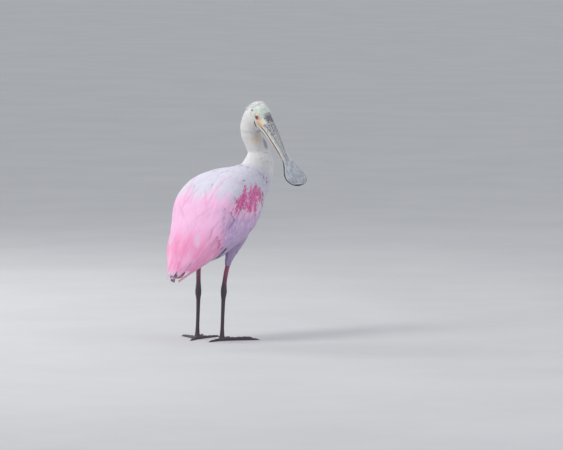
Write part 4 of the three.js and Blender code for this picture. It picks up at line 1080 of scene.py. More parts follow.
class SPOONBILL_OT_skin(bpy.types.Operator):
    """Builds the one skin that stands for torso, neck, head, thighs, wings and tail"""

    bl_idname = "spoonbill.skin"
    bl_label = "Skin"

    def execute(self, context):
        shape = Shape()
        body, neck, head = np.linspace(0, 8, 90), np.linspace(8, 16, 110), np.linspace(16, FACE_EDGE, 150)
        place, angle = all_round(np.concatenate((body, neck[1:], head[1:])), 192)
        points, _, _, out = BODY_SURFACE.lie(place, angle)
        bake = round_bake((0.02, 0.02, 0.7, 0.8), place / FACE_EDGE, angle)
        shape.grid(face_relief(points, out, place), bake, wrap=True, cap=True)
        for side, sign in SIDES.items():
            lids(shape, sign)
            wing_core(shape, sign)
            thigh = leg_surface(THIGHS[side], sign, THIGH_COAT)
            shape.tube(thigh, 40, 32, (0.75, 0.2 + 0.15 * sign, 0.2, 0.1))
        # The fleshy root of the tail.
        t, turn = np.linspace(0, 1, 12), np.linspace(0, FULL_TURN, 24, endpoint=False)
        t, turn = np.meshgrid(t, turn, indexing="ij")
        left, above = 14 * (1 - 0.3 * t) * np.cos(turn), (9 - 6 * t) * np.sin(turn)
        shape.grid(tail_point(TAIL_LENGTH * 0.45 * t, left, above), (0.8, 0.95), wrap=True, cap=True)
        flesh = ["torso", "neck_lower", "neck_upper", "head"]
        flesh += ["thigh_right", "thigh_left", "wing_right", "wing_left", "tail"]
        shape.build("skin", skin_material(), "body_feathers", *flesh)
        return {"FINISHED"}


# The coat


def shoulder_lift(place, angle):
    """How much higher the feathers in front of the wing reach, so that they lap over its front."""
    return 2.7 * hump(place - 7.35, 0.5) * smooth(125, 100, off_back(angle))


def tip_height(place):
    """How high the tips reach over the skin, just under the top of the coat."""
    return np.interp(place, *BODY_COAT) - 0.3


def not_under_wing(place, angle):
    """Whether a root on the torso isn't hidden under a folded wing."""
    margin = 8.0
    degrees = off_back(angle)
    envelope_place = np.clip(place + 1, 0, WING_FRONT)
    top, bottom = spline(WING_TOP, envelope_place) + margin, spline(WING_BOTTOM, envelope_place) - margin
    return (degrees <= top) | (degrees >= bottom) | (place >= 6.5)


def off_throat(place, angle):
    """Whether a root lies off the bare skin of the throat."""
    away = (BODY_SURFACE.point(place, angle) - np.array(THROAT_MIDDLE)) / (np.array(THROAT_SIZE) * 0.9)
    return dot(away, away) > 1


def feathered_head(place, angle):
    """Whether a root on the head carries a feather: the face and the sides from eye to ear are bare."""
    ahead, above, left = along_axes(BODY_SURFACE.point(place, angle), SKULL_AHEAD, SKULL_UP)
    temple = np.hypot((ahead + 4) / 17.5, (above - 8) / 14.5) < 1
    face = ahead > np.where(above > 5, -3.5 + 2.5 * np.sin(angle * 23), 1.0)
    return ~face & ~(temple & (np.abs(left) > 5.5)) & off_throat(place, angle)


# Places, lengths and widths of the close feathers, which shrink from the base of the neck to the face.
SMALL_PLACES = (7.4, 9, 12, 14.4, 17, 19, 20.6)
SMALL_LENGTHS = (15, 12.5, 10.5, 8.8, 7, 5, 3.4)
SMALL_WIDTHS = (5.6, 4.5, 3.6, 2.9, 2.2, 1.6, 1.1)


def small_feathers(shape, rng, roots, size, longer, way, bend, high, vary, **look):
    """Adds close feathers to the neck or head. Longer ones stand up to 1.4 more at their tips."""
    place, angle = roots
    length = np.interp(place, SMALL_PLACES, SMALL_LENGTHS) * size * longer[0]
    width = np.interp(place, SMALL_PLACES, SMALL_WIDTHS) * size
    add_vanes(
        shape, BODY_SURFACE, rng, place, angle, length, width, way, bend, high, vary, 1.4 * longer[1],
        tilt=0.05, camber=0.2, columns=4, ragged=0.15, **look,
    )


class SPOONBILL_OT_body_feathers(bpy.types.Operator):
    """Builds the soft feathers of the breast, belly, back and rump"""

    bl_idname = "spoonbill.body_feathers"
    bl_label = "Body feathers"

    def execute(self, context):
        rng = seeded(1)
        shape = Shape()
        gap = context.scene.spoonbill_sizes.body_spacing / MM
        spacing = ((0, 6, 9), (gap, gap, gap * 0.62))
        place, angle = scatter(BODY_SURFACE, rng, (0.35, 9.0), spacing, not_under_wing)
        size = np.interp(place, (0, 2, 6, 9), (1.0, 1.15, 1.0, 0.62)) * rng.uniform(0.88, 1.12, len(place))
        add_vanes(
            shape, BODY_SURFACE, rng, place, angle, 23 * size, 10.5 * size, (0, 6), (0, 8),
            tip_height(place) + shoulder_lift(place, angle), 0.15, low=-0.8, leave=0.9, tilt=0.1,
            camber=0.25, rows=7, columns=6, ragged=0.08, point=0.45,
        )
        shape.build("body_feathers", feather_material("Body feathers"), "body_feathers")
        return {"FINISHED"}


class SPOONBILL_OT_neck_feathers(bpy.types.Operator):
    """Builds the short close feathers from the base of the neck to the nape"""

    bl_idname = "spoonbill.neck_feathers"
    bl_label = "Neck feathers"

    def execute(self, context):
        rng = seeded(2)
        shape = Shape()
        gap = context.scene.spoonbill_sizes.neck_spacing / MM
        spacing = ((7, 9, 12, 14.4), gap * np.array((1.7, 1.35, 1.1, 0.9)))
        place, angle = scatter(BODY_SURFACE, rng, (7.4, 14.5), spacing, off_throat)
        size = rng.uniform(0.85, 1.15, len(place))
        nape = np.clip(np.cos(angle), 0, 1) * smooth(11.5, 13.5, place)
        small_feathers(
            shape, rng, (place, angle), size, (1 + 0.25 * nape, nape), (0, 9), (0, 14),
            tip_height(place) + shoulder_lift(place, angle), 0.1, low=-0.6, point=0.3, droop=0.3, dip=0.4,
        )
        shape.build("neck_feathers", feather_material("Neck feathers"), "neck_feathers")
        return {"FINISHED"}


class SPOONBILL_OT_head_feathers(bpy.types.Operator):
    """Builds the tiny feathers of the crown, cheeks and nape, and a ragged crest"""

    bl_idname = "spoonbill.head_feathers"
    bl_label = "Head feathers"

    def execute(self, context):
        rng = seeded(3)
        shape = Shape()
        gap = context.scene.spoonbill_sizes.head_spacing / MM
        spacing = ((14.3, 16, 18, 20.6), gap * np.array((1.45, 1.15, 0.95, 0.75)))
        place, angle = scatter(BODY_SURFACE, rng, (14.3, 20.6), spacing, feathered_head)
        crown = np.clip(np.cos(angle), 0, 1) ** 2 * smooth(20.3, 18.5, place)
        size = rng.uniform(0.8, 1.2, len(place))
        small_feathers(
            shape, rng, (place, angle), size, (1 + 0.5 * crown, crown), (0, 12), (0, 18),
            np.maximum(tip_height(place), 0.6), 0.2, low=-0.4, leave=0.45, rows=5, point=0.2, droop=0.2,
            dip=0.25,
        )
        crest = 70
        place, angle = rng.uniform(16.0, 18.3, crest), rng.normal(0, 0.35, crest)
        length, width = rng.uniform(10, 16, crest), rng.uniform(1.4, 2.2, crest)
        add_vanes(
            shape, BODY_SURFACE, rng, place, angle, length, width, (0, 14), (0, 20), 2.5, stray=3.0,
            low=-0.4, leave=1.0, camber=0.3, rows=7, columns=4, ragged=0.15, point=0.15, droop=0.2, dip=0.0,
        )
        shape.build("head_feathers", feather_material("Head feathers"), "neck_feathers")
        return {"FINISHED"}


class SPOONBILL_OT_thigh_feathers(bpy.types.Operator):
    """Builds the short soft feathers that hang down the thighs to the bare shin"""

    bl_idname = "spoonbill.thigh_feathers"
    bl_label = "Thigh feathers"

    def execute(self, context):
        for k, (side, sign) in enumerate(SIDES.items()):
            rng = seeded(10 + k)
            shape = Shape()
            surface = leg_surface(THIGHS[side], sign, THIGH_COAT)
            place, angle = scatter(surface, rng, (0.15, surface.last - 0.3), ((0, 1), (2.5, 2.5)))
            many = len(place)
            size = np.interp(place, (0, 1, 2, 4), (0.5, 0.75, 1.0, 1.15)) * rng.uniform(0.85, 1.15, many)
            uneven = 1 + smooth(1.0, 0.2, place) * rng.uniform(-0.5, 0.9, many)
            add_vanes(
                shape, surface, rng, place, angle, 17 * size * uneven, 4.8 * size, (0, 7), (0, 8),
                np.interp(place, (0, 1.5), (0.5, 2.0)), 0.25, low=-0.6, leave=0.8, camber=0.3, columns=4,
                point=0.3, droop=0.3, dip=0.3, narrow=0.5, bake_box=(0.05, 0.1, 0.85, 0.8),
            )
            shape.build(f"thigh_feathers_{side}", feather_material("Body feathers"), "body_feathers")
        return {"FINISHED"}


# Rows of wing feathers: places and angles of the first and last root, how many, lengths and widths,
# and the lift of the tips. They run from the coverts to the flight feathers.
WING_ROWS = (
    ((5.65, 5.35), (46, 96), 11, (37, 33), (14, 12.5), 3.4),
    ((5.2, 4.9), (46, 98), 11, (42, 38), (15.5, 13.5), 3.5),
    ((4.7, 4.45), (46, 101), 11, (50, 45), (17, 14.5), 3.5),
    ((4.15, 3.95), (48, 105), 11, (78, 68), (19, 16), 3.5),
    ((3.2, 3.1), (58, 108), 10, (126, 118), (19, 15.5), 2.4),
    ((2.6, 2.3), (112, 132), 6, (116, 98), (12, 10), 1.0),
)


def wing_rows(shape, sign, rng):
    """Adds the rows of long coverts and flight feathers of one folded wing."""
    for places, angles, count, lengths, widths, lift in WING_ROWS:
        t = np.linspace(0, 1, count)
        place = places[0] + (places[1] - places[0]) * t + rng.normal(0, 0.06, count)
        degrees = angles[0] + (angles[1] - angles[0]) * t + rng.normal(0, 1.0, count)
        length = (lengths[0] + (lengths[1] - lengths[0]) * t) * rng.uniform(0.93, 1.07, count)
        width = widths[0] + (widths[1] - widths[0]) * t
        add_vanes(
            shape, WING_SURFACE, rng, place, np.radians(degrees), length, width, (0, 1.4), (0, 3), lift - 0.5,
            0.1, sign=sign, low=-2.0, leave=0.3, tilt=0.16, camber=0.3,
            rows=int(np.clip(length.mean() / 5, 7, 22)), columns=9, ragged=0.045, point=0.62,
        )


def shoulder_plumes(shape, sign, rng):
    """Adds the long soft plumes that fall from the back over the top of the wing."""

    def keep(place, angle):
        reach = np.interp(place, (2.4, 4, 5.5, 7.2), (52, 50, 46, 34))
        return np.degrees(angle) < reach + 5 * np.sin(place * 7)

    spacing = ((2.5, 5, 7.6), (8.5, 8, 6.5))
    angles = (math.radians(-4), math.radians(56))
    place, angle = scatter(WING_SURFACE, rng, (2.5, 7.75), spacing, keep, angles)
    size = rng.uniform(0.85, 1.15, len(place))
    order = np.argsort(place)
    place, angle = place[order], angle[order]
    length, width = (
        np.interp(place, (2.5, 4, 5.5, 7.7), sizes) * size for sizes in ((96, 78, 58, 34), (19, 18, 15, 11))
    )
    add_vanes(
        shape, WING_SURFACE, rng, place, angle, length, width, (2, 4), (2, 7),
        np.interp(place, (2.5, 5, 7.7), (3.8, 3.5, 3.0)), 0.12, sign=sign, low=-2.0, leave=0.6, tilt=0.12,
        camber=0.3, rows=14, columns=7, ragged=0.06, point=0.35, soft=0.7, narrow=0.5,
    )


def shoulder_coverts(shape, sign, rng):
    """Adds close feathers over the bend of the wing, small at its front and larger towards the rear."""

    def keep(place, angle):
        ragged = 4 * np.sin(place * 9)
        low = np.interp(place, (5.2, 6.5, 7, 7.5), (40, 34, 20, 0))
        high = np.interp(place, (5.2, 6.2, 7, 8), (98, 92, 104, 122))
        return (np.degrees(angle) > low + ragged) & (np.degrees(angle) < high + ragged)

    marks = (5.2, 6.2, 7, 8)
    places = (marks[0], WING_FRONT - 0.04)
    place, angle = scatter(
        WING_SURFACE, rng, places, (marks, (7.5, 6, 4.8, 3.8)), keep, (0.0, math.radians(126))
    )
    size = rng.uniform(0.88, 1.12, len(place))
    length, width = (np.interp(place, marks, sizes) * size for sizes in ((38, 31, 24, 18), (15, 12.5, 10, 8)))
    add_vanes(
        shape, WING_SURFACE, rng, place, angle, length, width, (2, 5), (2, 6), 3.2, 0.1, sign=sign,
        low=-1.5, leave=0.9, tilt=0.1, camber=0.25, rows=9, columns=6, ragged=0.07, point=0.5,
    )


class SPOONBILL_OT_wing_feathers(bpy.types.Operator):
    """Builds the folded wings: coverts, flight feathers and the long soft shoulder feathers"""

    bl_idname = "spoonbill.wing_feathers"
    bl_label = "Wing feathers"

    def execute(self, context):
        for k, (side, sign) in enumerate(SIDES.items()):
            rng = seeded(20 + k)
            shape = Shape()
            wing_rows(shape, sign, rng)
            shoulder_plumes(shape, sign, rng)
            shoulder_coverts(shape, sign, rng)
            shape.build(f"wing_feathers_{side}", feather_material("Wing feathers"), "wing_feathers")
        return {"FINISHED"}


class SPOONBILL_OT_flank_feathers(bpy.types.Operator):
    """Builds the long lavender feathers of the side that lap over the front edge of the wing"""

    bl_idname = "spoonbill.flank_feathers"
    bl_label = "Flank feathers"

    def execute(self, context):
        marks, front = (3.7, 5, 7), (5.6, 7)
        for k, (side, sign) in enumerate(SIDES.items()):
            rng = seeded(30 + k)
            shape = Shape()
            place, degrees = [], []
            for row in np.linspace(7.0, 3.7, 12):
                edge = spline(WING_BOTTOM, row)
                first = edge - np.interp(row, marks, (34, 16, 4))
                last = edge + np.interp(row, marks, (20, 30, 6))
                count = int((last - first) / 6)
                place.append(row + rng.normal(0, 0.05, count))
                degrees.append(np.linspace(first, last, count) + rng.normal(0, 1.2, count))
            place, degrees = np.concatenate(place), np.concatenate(degrees)
            length = np.interp(place, marks, (58, 46, 30)) * rng.uniform(0.9, 1.1, len(place))
            add_vanes(
                shape, WING_SURFACE, rng, place, np.radians(degrees), length,
                np.interp(place, marks, (14, 12.5, 10)), (4, 3), (2, 5), np.interp(place, front, (3.6, 2.9)),
                0.12, sign=sign, low=np.interp(place, front, (-2.0, -5.0)),
                leave=np.interp(place, front, (1.4, -1.5)), tilt=0.12, camber=0.3, rows=11, columns=7,
                ragged=0.09, point=0.5,
            )
            shape.build(f"flank_feathers_{side}", feather_material("Body feathers"), "body_feathers")
        return {"FINISHED"}


class SPOONBILL_OT_tail_coverts(bpy.types.Operator):
    """Builds the soft pink plumes that fall from the rump over the roots of the tail"""

    bl_idname = "spoonbill.tail_coverts"
    bl_label = "Tail coverts"

    def execute(self, context):
        rng = seeded(50)
        shape = Shape()
        widest = math.radians(52)
        places = (0.95, 2.7)
        place, angle = scatter(WING_SURFACE, rng, places, ((0, 1), (7, 7)), None, (-widest, widest))
        order = np.argsort(place)
        place, angle = place[order], angle[order]
        length = np.interp(place, places, (42, 62)) * rng.uniform(0.85, 1.12, len(place))
        add_vanes(
            shape, WING_SURFACE, rng, place, angle, length, np.interp(place, places, (13, 17)), (0, 4),
            (0, 7), 3.2, 0.15, low=-2.0, tilt=np.sign(angle) * 0.1, camber=0.4, rows=12, columns=7,
            ragged=0.06, point=0.4, soft=0.7,
        )
        shape.build("tail_coverts", feather_material("Wing feathers"), "wing_feathers")
        return {"FINISHED"}


class SPOONBILL_OT_tail_feathers(bpy.types.Operator):
    """Builds twelve tail feathers in a folded fan"""

    bl_idname = "spoonbill.tail_feathers"
    bl_label = "Tail feathers"

    def execute(self, context):
        rng = seeded(40)
        shape = Shape()
        t = (np.linspace(0, 1, 16) ** 0.9)[:, None]
        s = np.linspace(-1, 1, 9)
        pairs = 6
        for index in range(pairs * 2):
            pair, sign = index // 2, 1 if index % 2 == 0 else -1
            across = sign * (pair + 0.5) / (pairs - 0.5)
            level = ((pairs * 2 - 1) / 2 - index) * 0.62
            fray = 1 + 0.03 * rng.standard_normal((16, 9))
            left = 13 * across * (0.45 + 0.55 * t) + 5.6 * vane_profile(t, 0.7) * s * fray
            above = level * (0.8 + 0.2 * t) + 0.5 * (1 - np.abs(s)) - 0.0035 * left**2 - 0.2 * s * sign
            distance = TAIL_LENGTH * t * (1 - 0.03 * pair)
            bake = pairs_of(0.1 + 0.06 * index + PATCH * (s / 2), 0.5 + PATCH * (t - 0.5))
            points = tail_point(distance, left, above)
            shape.grid(points, bake, tuft=rng.random(), along=t, across=s, reach=distance)
        shape.build("tail_feathers", feather_material("Wing feathers"), "tail_feathers")
        return {"FINISHED"}


# Eyes


def eye_material():
    """A red iris with fine rays and a dark round pupil under a clear wet coat."""
    material, shader, surface = new_material("Eye", {"Coat Weight": 1.0, "Coat Roughness": 0.03})
    off_axis, turn = shader.value("off_axis"), shader.value("turn")
    rays = shader.join(shader.math("COSINE", turn), shader.math("SINE", turn), shader.times(off_axis, 0.6))
    streak = shader.noise(rays, 7.0, 3.0, 0.6)
    iris = bpy.context.scene.spoonbill_colours.iris
    colour = shader.mix(shader.ramp(streak, 0.3, 0.7), iris, (0.30, 0.012, 0.004, 1))
    colour = shader.mix(shader.ramp(off_axis, 0.36, 0.5), (0.80, 0.13, 0.02, 1), colour)
    colour = shader.over(colour, (0.06, 0.01, 0.01, 1), shader.ramp(off_axis, 1.0, 1.2))
    colour = shader.over(colour, (0.006, 0.006, 0.01, 1), shader.ramp(off_axis, 0.31, 0.35, 1.0, 0.0))
    finish(shader, surface, colour, 0.12, streak, 0.1, 0.0002)
    return material


class SPOONBILL_OT_eyes(bpy.types.Operator):
    """Builds both red eyes, with round pupils, clear and wet"""

    bl_idname = "spoonbill.eyes"
    bl_label = "Eyes"

    def execute(self, context):
        material = eye_material()
        polar, turn = np.linspace(0.001, math.pi - 0.001, 60), np.linspace(0, FULL_TURN, 64, endpoint=False)
        polar, turn = np.meshgrid(polar, turn, indexing="ij")
        bake = pairs_of(0.05 + 0.9 * turn / FULL_TURN, 0.05 + 0.9 * polar / math.pi)
        for side, sign in SIDES.items():
            axis = unit(HEAD_LEFT * sign + SKULL_AHEAD * 0.26)
            across = unit(np.cross(UP, axis))
            axes = (axis, across, np.cross(axis, across))
            way = (np.cos(polar), np.cos(turn) * np.sin(polar), np.sin(turn) * np.sin(polar))
            shape = Shape()
            points = local_points(eye_middle(sign), axes, [part * EYEBALL for part in way])
            shape.grid(points, bake, wrap=True, off_axis=polar, turn=turn)
            shape.build(f"eyeball_{side}", material, "eye", f"eye_{side}")
        return {"FINISHED"}


# The bill

FACE_CENTRE, FACE_UP, _ = SPINE_STATIONS[-1]
FACE_TOP = along_axes(FACE_CENTRE + FACE_UP, BILL_AHEAD, BILL_UP)
FACE_BOTTOM = along_axes(FACE_CENTRE - FACE_UP, BILL_AHEAD, BILL_UP)
BASE_LEAN = (FACE_BOTTOM[0] - FACE_TOP[0]) / (FACE_TOP[1] - FACE_BOTTOM[1])
BASE_REACH = 32.0
BAR_PITCH = 2.4
# Distance along the bill, top, line of the mouth, bottom and half width.
BILL_ROWS = np.array((
    (FACE_TOP[0], FACE_TOP[1], -6, FACE_BOTTOM[1], 16.4),
    (20, 16.8, -2.6, -16, 16),
    (32, 16.3, 0.8, -13.5, 15.2),
    (41, 16, 2.8, -11.2, 14.5),
    (50, 15.6, 4.1, -8.3, 13.8),
    (60, 15.2, 5.2, -4.8, 13),
    (70, 14.9, 6.6, -1, 12.3),
    (85, 14.5, 8.6, 3.8, 11.5),
    (99, 14.4, 10.2, 6.6, 11.1),
    (113, 14.8, 11.4, 8.2, 11.8),
    (125, 15.6, 12.6, 9.7, 14.2),
    (136.5, 16.5, 13.8, 11.1, 18.6),
    (146, 17.2, 14.6, 12.1, 23),
    (154.5, 17.5, 15, 12.6, 26.6),
    (162, 17.3, 14.9, 12.6, 27.5),
    (169, 16.8, 14.5, 12.3, 25.6),
    (174.5, 16.1, 14, 12, 20.6),
    (178, 15.4, 13.5, 11.7, 14),
    (BILL_LENGTH, 14.6, 13.2, 11.8, 7),
))


def mandible(upper):
    """One half of the bill, with grooves along its rims and small bars beside the mouth."""
    last = len(BILL_ROWS) - 1
    rows = np.concatenate((np.linspace(0, last - 2, 190), np.linspace(last - 2, last, 40)[1:]))
    at, top, mouth, bottom, half = spline(BILL_ROWS, rows).T[..., None]
    sign = 1 if upper else -1
    inner = mouth + sign * 0.25
    outer = top if upper else bottom
    wide = half if upper else half * 0.94
    turn = np.linspace(0, math.pi, 61)
    cos, sin = np.cos(turn), np.sin(turn)
    left = wide * cos
    above = inner + (outer - inner) * sin**0.8
    step = np.hypot(np.diff(left, axis=1), np.diff(above, axis=1))
    around = np.concatenate((0 * at, np.cumsum(step, axis=1)), 1)
    across = around - around[:, -1:] / 2
    lift = around[:, -1:] / 2 - np.abs(across)
    tip = np.maximum(BILL_LENGTH - at, 0) + 0.4
    edge = np.minimum(wide - np.abs(left), tip)
    out = -0.5 * hump(edge - 3.4, 0.7) * smooth(60, 120, at) + 0.3 * hump(edge - 1.4) * smooth(80, 130, at)
    if upper:
        groove = -0.4 * hump(lift - 10.4, 0.8) * (smooth(22, 40, at) * (1 - smooth(110, 150, at)))
        bars = np.sin((at + 0.4 * lift + 0.5 * np.sin(at * 0.9)) * FULL_TURN / BAR_PITCH)
        bars = 0.13 * bars * hump(lift - 7, 2) * (smooth(28, 38, at) * (1 - smooth(92, 104, at)))
        keel = 0.35 * hump(cos, 0.2) * (1 - smooth(70, 120, at))
        out = out + (groove + bars + keel)
    above = above + sign * out * np.minimum(sin / 0.2, 1)
    left = left + np.sign(left) * out * 0.4 * np.abs(cos)
    inner_left = wide * np.linspace(-1, 1, 22)[1:-1]
    inner_above = inner + sign * 0.35 * (1 - (inner_left / wide) ** 2)
    all_left, all_above = np.concatenate((left, inner_left), 1), np.concatenate((above, inner_above), 1)
    lean = np.maximum(0, 1 - (at - at[0]) / BASE_REACH) * BASE_LEAN
    ahead = at + lean * (BILL_ROWS[0, 1] - all_above)
    points = local_points(HEAD_CENTRE, (BILL_AHEAD, BILL_UP, HEAD_LEFT), (ahead, all_above, all_left))
    flat = 0 * inner_left
    values = {
        "at": at,
        "rim": np.concatenate((edge, np.minimum(wide - np.abs(inner_left), tip)), 1),
        "lift": np.concatenate((lift, flat), 1),
        "across": np.concatenate((across, inner_left), 1),
        "inside": np.concatenate((0 * left, flat + 1), 1),
        "lower": 0 * at + (0 if upper else 1),
    }
    # One more row at the base reaches into the head, so that the horn comes out of the skin.
    middle = points[:1].mean(axis=1, keepdims=True)
    hidden = points[:1] + (middle - points[:1]) * 0.07 - BILL_AHEAD * 3
    values = {name: np.concatenate((value[:1], value)) for name, value in values.items()}
    return np.concatenate((hidden, points)), values


def nostrils(points):
    """Sinks a slit on each side of the top of the bill near its base."""
    ahead, above, left = along_axes(points, BILL_AHEAD, BILL_UP)
    depth = np.zeros(points.shape[:-1])
    for sign in SIDES.values():
        away = np.hypot((ahead - 18) / 4.0, left - sign * (4 + 0.12 * (ahead - 18)))
        depth = depth - 1.8 * np.exp(-(away**2.5)) + 0.5 * hump(away - 1.7, 0.5)
    return points + BILL_UP * (depth * (above > 8))[..., None]


def bill_material():
    """Mottled horn with a brown line and pale bars beside the mouth and a dark rim round the spoon."""
    paints = bpy.context.scene.spoonbill_colours
    material, shader, surface = new_material("Bill horn", {"Coat Weight": 0.06})
    mix, over, ramp, times = shader.mix, shader.over, shader.ramp, shader.times
    plus, minus, noise = shader.plus, shader.minus, shader.noise
    keys = ("at", "rim", "lift", "across", "inside", "lower")
    at, rim, lift, across, inside, lower = (shader.value(key) for key in keys)
    upper = minus(1.0, lower)
    here = shader.here()
    flat = shader.join(at, times(across, 1.5), lower)
    fine = noise(here, 900.0, 3.0, 0.65)
    cloud = noise(flat, 0.09, 3.0, 0.6)
    blotch = noise(flat, 0.27, 2.0, 0.55)
    small = noise(flat, 0.62, 2.0, 0.6)
    uneven = minus(small, 0.5)

    # Grey horn, bluer and smoother towards the spoon.
    horn = mix(ramp(small, 0.38, 0.62, 0.0, 0.6), paints.bill, paints.bill_pale)
    horn = over(horn, mix(ramp(cloud, 0.35, 0.65), paints.bill, paints.bill_far), ramp(at, 70.0, 125.0))

    # Slate mottles with black hearts on the base of the upper half.
    base = ramp(plus(at, times(cloud, 30.0)), 118.0, 50.0)
    dark = ramp(plus(blotch, times(base, 0.035)), 0.52, 0.62)
    crumbs = times(ramp(small, 0.57, 0.68), ramp(blotch, 0.42, 0.5), base)
    dark = times(shader.most(dark, crumbs), upper, base, 0.8)
    horn = over(horn, paints.bill_mottle, dark)
    horn = over(horn, paints.bill_dark, ramp(blotch, 0.6, 0.68), dark)
    slate = times(ramp(plus(at, times(uneven, 16.0)), 26.0, 20.0), ramp(shader.size(across), 11.0, 7.5))
    horn = over(horn, paints.bill_mottle, slate, upper, ramp(small, 0.45, 0.6, 0.9, 0.4))

    # From the mouth up: a brown line, a pale strip, short bars with dark gaps, a broken dark line.
    wavy = plus(lift, times(uneven, 1.6))
    near = ramp(at, 132.0, 104.0)
    line = times(ramp(wavy, 11.6, 10.6), ramp(wavy, 9.2, 9.8), ramp(small, 0.4, 0.56))
    horn = over(horn, paints.bill_dark, line, near, upper)
    bars = shader.math("SINE", times(plus(at, times(lift, 0.4), times(uneven, 5.5)), FULL_TURN / BAR_PITCH))
    bars = mix(ramp(bars, -0.8, 0.3), paints.bill_mottle, paints.bill_pale)
    band = times(ramp(wavy, 9.8, 8.8), ramp(at, 26.0, 36.0), ramp(cloud, 0.36, 0.56, 0.35, 1.0))
    horn = over(horn, bars, band, upper, near)
    horn = over(horn, paints.bill_pale, ramp(wavy, 5.0, 4.2), ramp(at, 130.0, 110.0), 0.85)
    horn = over(horn, paints.bill_cream, ramp(lift, 7.5, 5.0), ramp(at, 120.0, 80.0), lower)
    horn = over(horn, paints.bill_dark, ramp(wavy, 6.0, 8.5), lower, base, 0.8)
    near = ramp(at, 126.0, 96.0)
    horn = over(horn, paints.mouth, ramp(wavy, 2.7, 1.9), near, ramp(lower, 1.0, 0.5, 0.25, 0.85))
    horn = over(horn, paints.bill_dark, ramp(wavy, 1.2, 0.7), near)

    # Orange skin runs from in front of the eye onto the side of the base.
    skin = mix(ramp(small, 0.35, 0.55), paints.lore, paints.lore_pale)
    skin = over(skin, paints.gape, ramp(wavy, 9.0, 3.0), 0.8)
    horn = over(horn, skin, ramp(plus(at, times(uneven, 14.0)), 27.0, 22.0), ramp(lift, 20.0, 15.0), upper)

    # The spoon's dark rim inside a light line, fine dark stipple, and the dark inside of the bill.
    spoon = ramp(at, 98.0, 132.0)
    horn = over(horn, paints.bill_pale, ramp(shader.size(minus(rim, 3.4)), 1.1, 0.3), spoon, 0.5)
    ragged = plus(rim, times(minus(cloud, 0.5), 2.4), uneven)
    horn = over(horn, paints.bill_dark, ramp(ragged, 2.6, 1.6), spoon)
    horn = over(horn, paints.bill_dark, ramp(noise(here, 1500.0, 1.0, 0.5), 0.62, 0.7), 0.3)
    horn = over(horn, paints.dark_skin_and_shade, inside, 0.8)
    height = plus(minus(times(small, 0.8), times(dark, 0.7)), times(fine, 0.25))
    finish(shader, surface, horn, ramp(fine, 0.3, 0.7, 0.42, 0.6), height, 0.6, 0.0005)
    return material


class SPOONBILL_OT_bill(bpy.types.Operator):
    """Builds the two halves of the bill, grey and mottled, with a dark-rimmed spoon"""

    bl_idname = "spoonbill.bill"
    bl_label = "Bill"

    def execute(self, context):
        material = bill_material()
        for name in ("upper", "lower"):
            points, values = mandible(name == "upper")
            if name == "upper":
                points = nostrils(points)
            shape = Shape()
            round_the_bill = np.linspace(0.03, 0.97, points.shape[1])
            bake = pairs_of(0.03 + 0.94 * values["at"] / BILL_LENGTH, round_the_bill)
            shape.grid(points, bake, wrap=True, cap=True, **values)
            shape.build(f"{name}_mandible", material, "bill", f"bill_{name}")
        return {"FINISHED"}


# Legs and feet


def scaled_skin(name, high_colour, low_colour, blend):
    """Scaly skin. Its colour goes from one to the other between two heights in metres."""
    material, shader, surface = new_material(name)
    *_, z = bird_place(shader)
    flat = shader.join(shader.value("around"), shader.value("length"), 0.0)
    edges = shader.cells(flat, 0.62, 0.55)
    cloud = shader.noise(flat, 0.35, 3.0, 0.6)
    level = shader.plus(z, shader.times(shader.minus(cloud, 0.5), 0.02))
    colour = shader.mix(shader.ramp(level, *blend), low_colour, high_colour)
    colour = shader.over(colour, (0.14, 0.11, 0.13, 1), shader.ramp(cloud, 0.3, 0.7, 0.0, 0.35))
    colour = shader.over(colour, (0.03, 0.022, 0.028, 1), shader.ramp(edges, 0.0, 0.12, 0.75, 0.0))
    rough = shader.ramp(edges, 0.0, 0.3, 0.75, 0.48)
    finish(shader, surface, colour, rough, shader.ramp(edges, 0.0, 0.22), 0.7, 0.0006)
    return material


class SPOONBILL_OT_legs(bpy.types.Operator):
    """Builds the scaly shins, hocks and long bare legs"""

    bl_idname = "spoonbill.legs"
    bl_label = "Legs"

    def execute(self, context):
        paints = context.scene.spoonbill_colours
        shin = scaled_skin("Shin skin", paints.shin, paints.leg, (0.105, 0.15))
        bare = scaled_skin("Leg skin", paints.shin, paints.leg, (0.11, 0.16))
        limbs = (("shank", SHANKS, shin, "shin_skin"), ("tarsus", TARSI, bare, "leg_skin"))
        for side, sign in SIDES.items():
            for name, levels, material, slot in limbs:
                shape = Shape()
                shape.tube(leg_surface(levels[side], sign), 80, 40, (0.03, 0.03, 0.94, 0.94), scaly=True)
                shape.build(f"{name}_skin_{side}", material, slot, f"{name}_{side}")
        return {"FINISHED"}


def ankle(side):
    _, out, ahead, _, _ = TARSI[side][-1]
    return np.array((SIDES[side] * out, -ahead, 0.0))


def toe_heading(side, toe):
    turn = math.radians(TOES_OUT[side] + TOES[toe][0]) * SIDES[side]
    return np.array((math.sin(turn), -math.cos(turn), 0.0))


def toe_ring(side, toe, start, end, half, height, low=0.0):
    """Rings along a toe or claw, flat below and round above, and how far each lies from the ankle."""
    t = np.linspace(0, 1, len(half))
    ahead = toe_heading(side, toe)
    across = np.cross(UP, ahead)
    turn = np.linspace(-0.28, math.pi + 0.28, 19)
    wide, tall = half[:, None], height[:, None]
    distance = start + (end - start) * t
    centre = ankle(side) + ahead * distance[:, None] + UP * (low * (1 - t) + 0.02)[:, None]
    sole = wide * np.cos(turn[0]) * np.linspace(0.85, -0.85, 7)
    out = np.concatenate((wide * np.cos(turn), sole), 1)
    rise = np.concatenate((np.maximum(tall * (0.22 + 0.78 * np.sin(turn)), 0.0), 0 * sole), 1)
    return centre[:, None, :] + across * out[..., None] + UP * rise[..., None], distance[:, None]


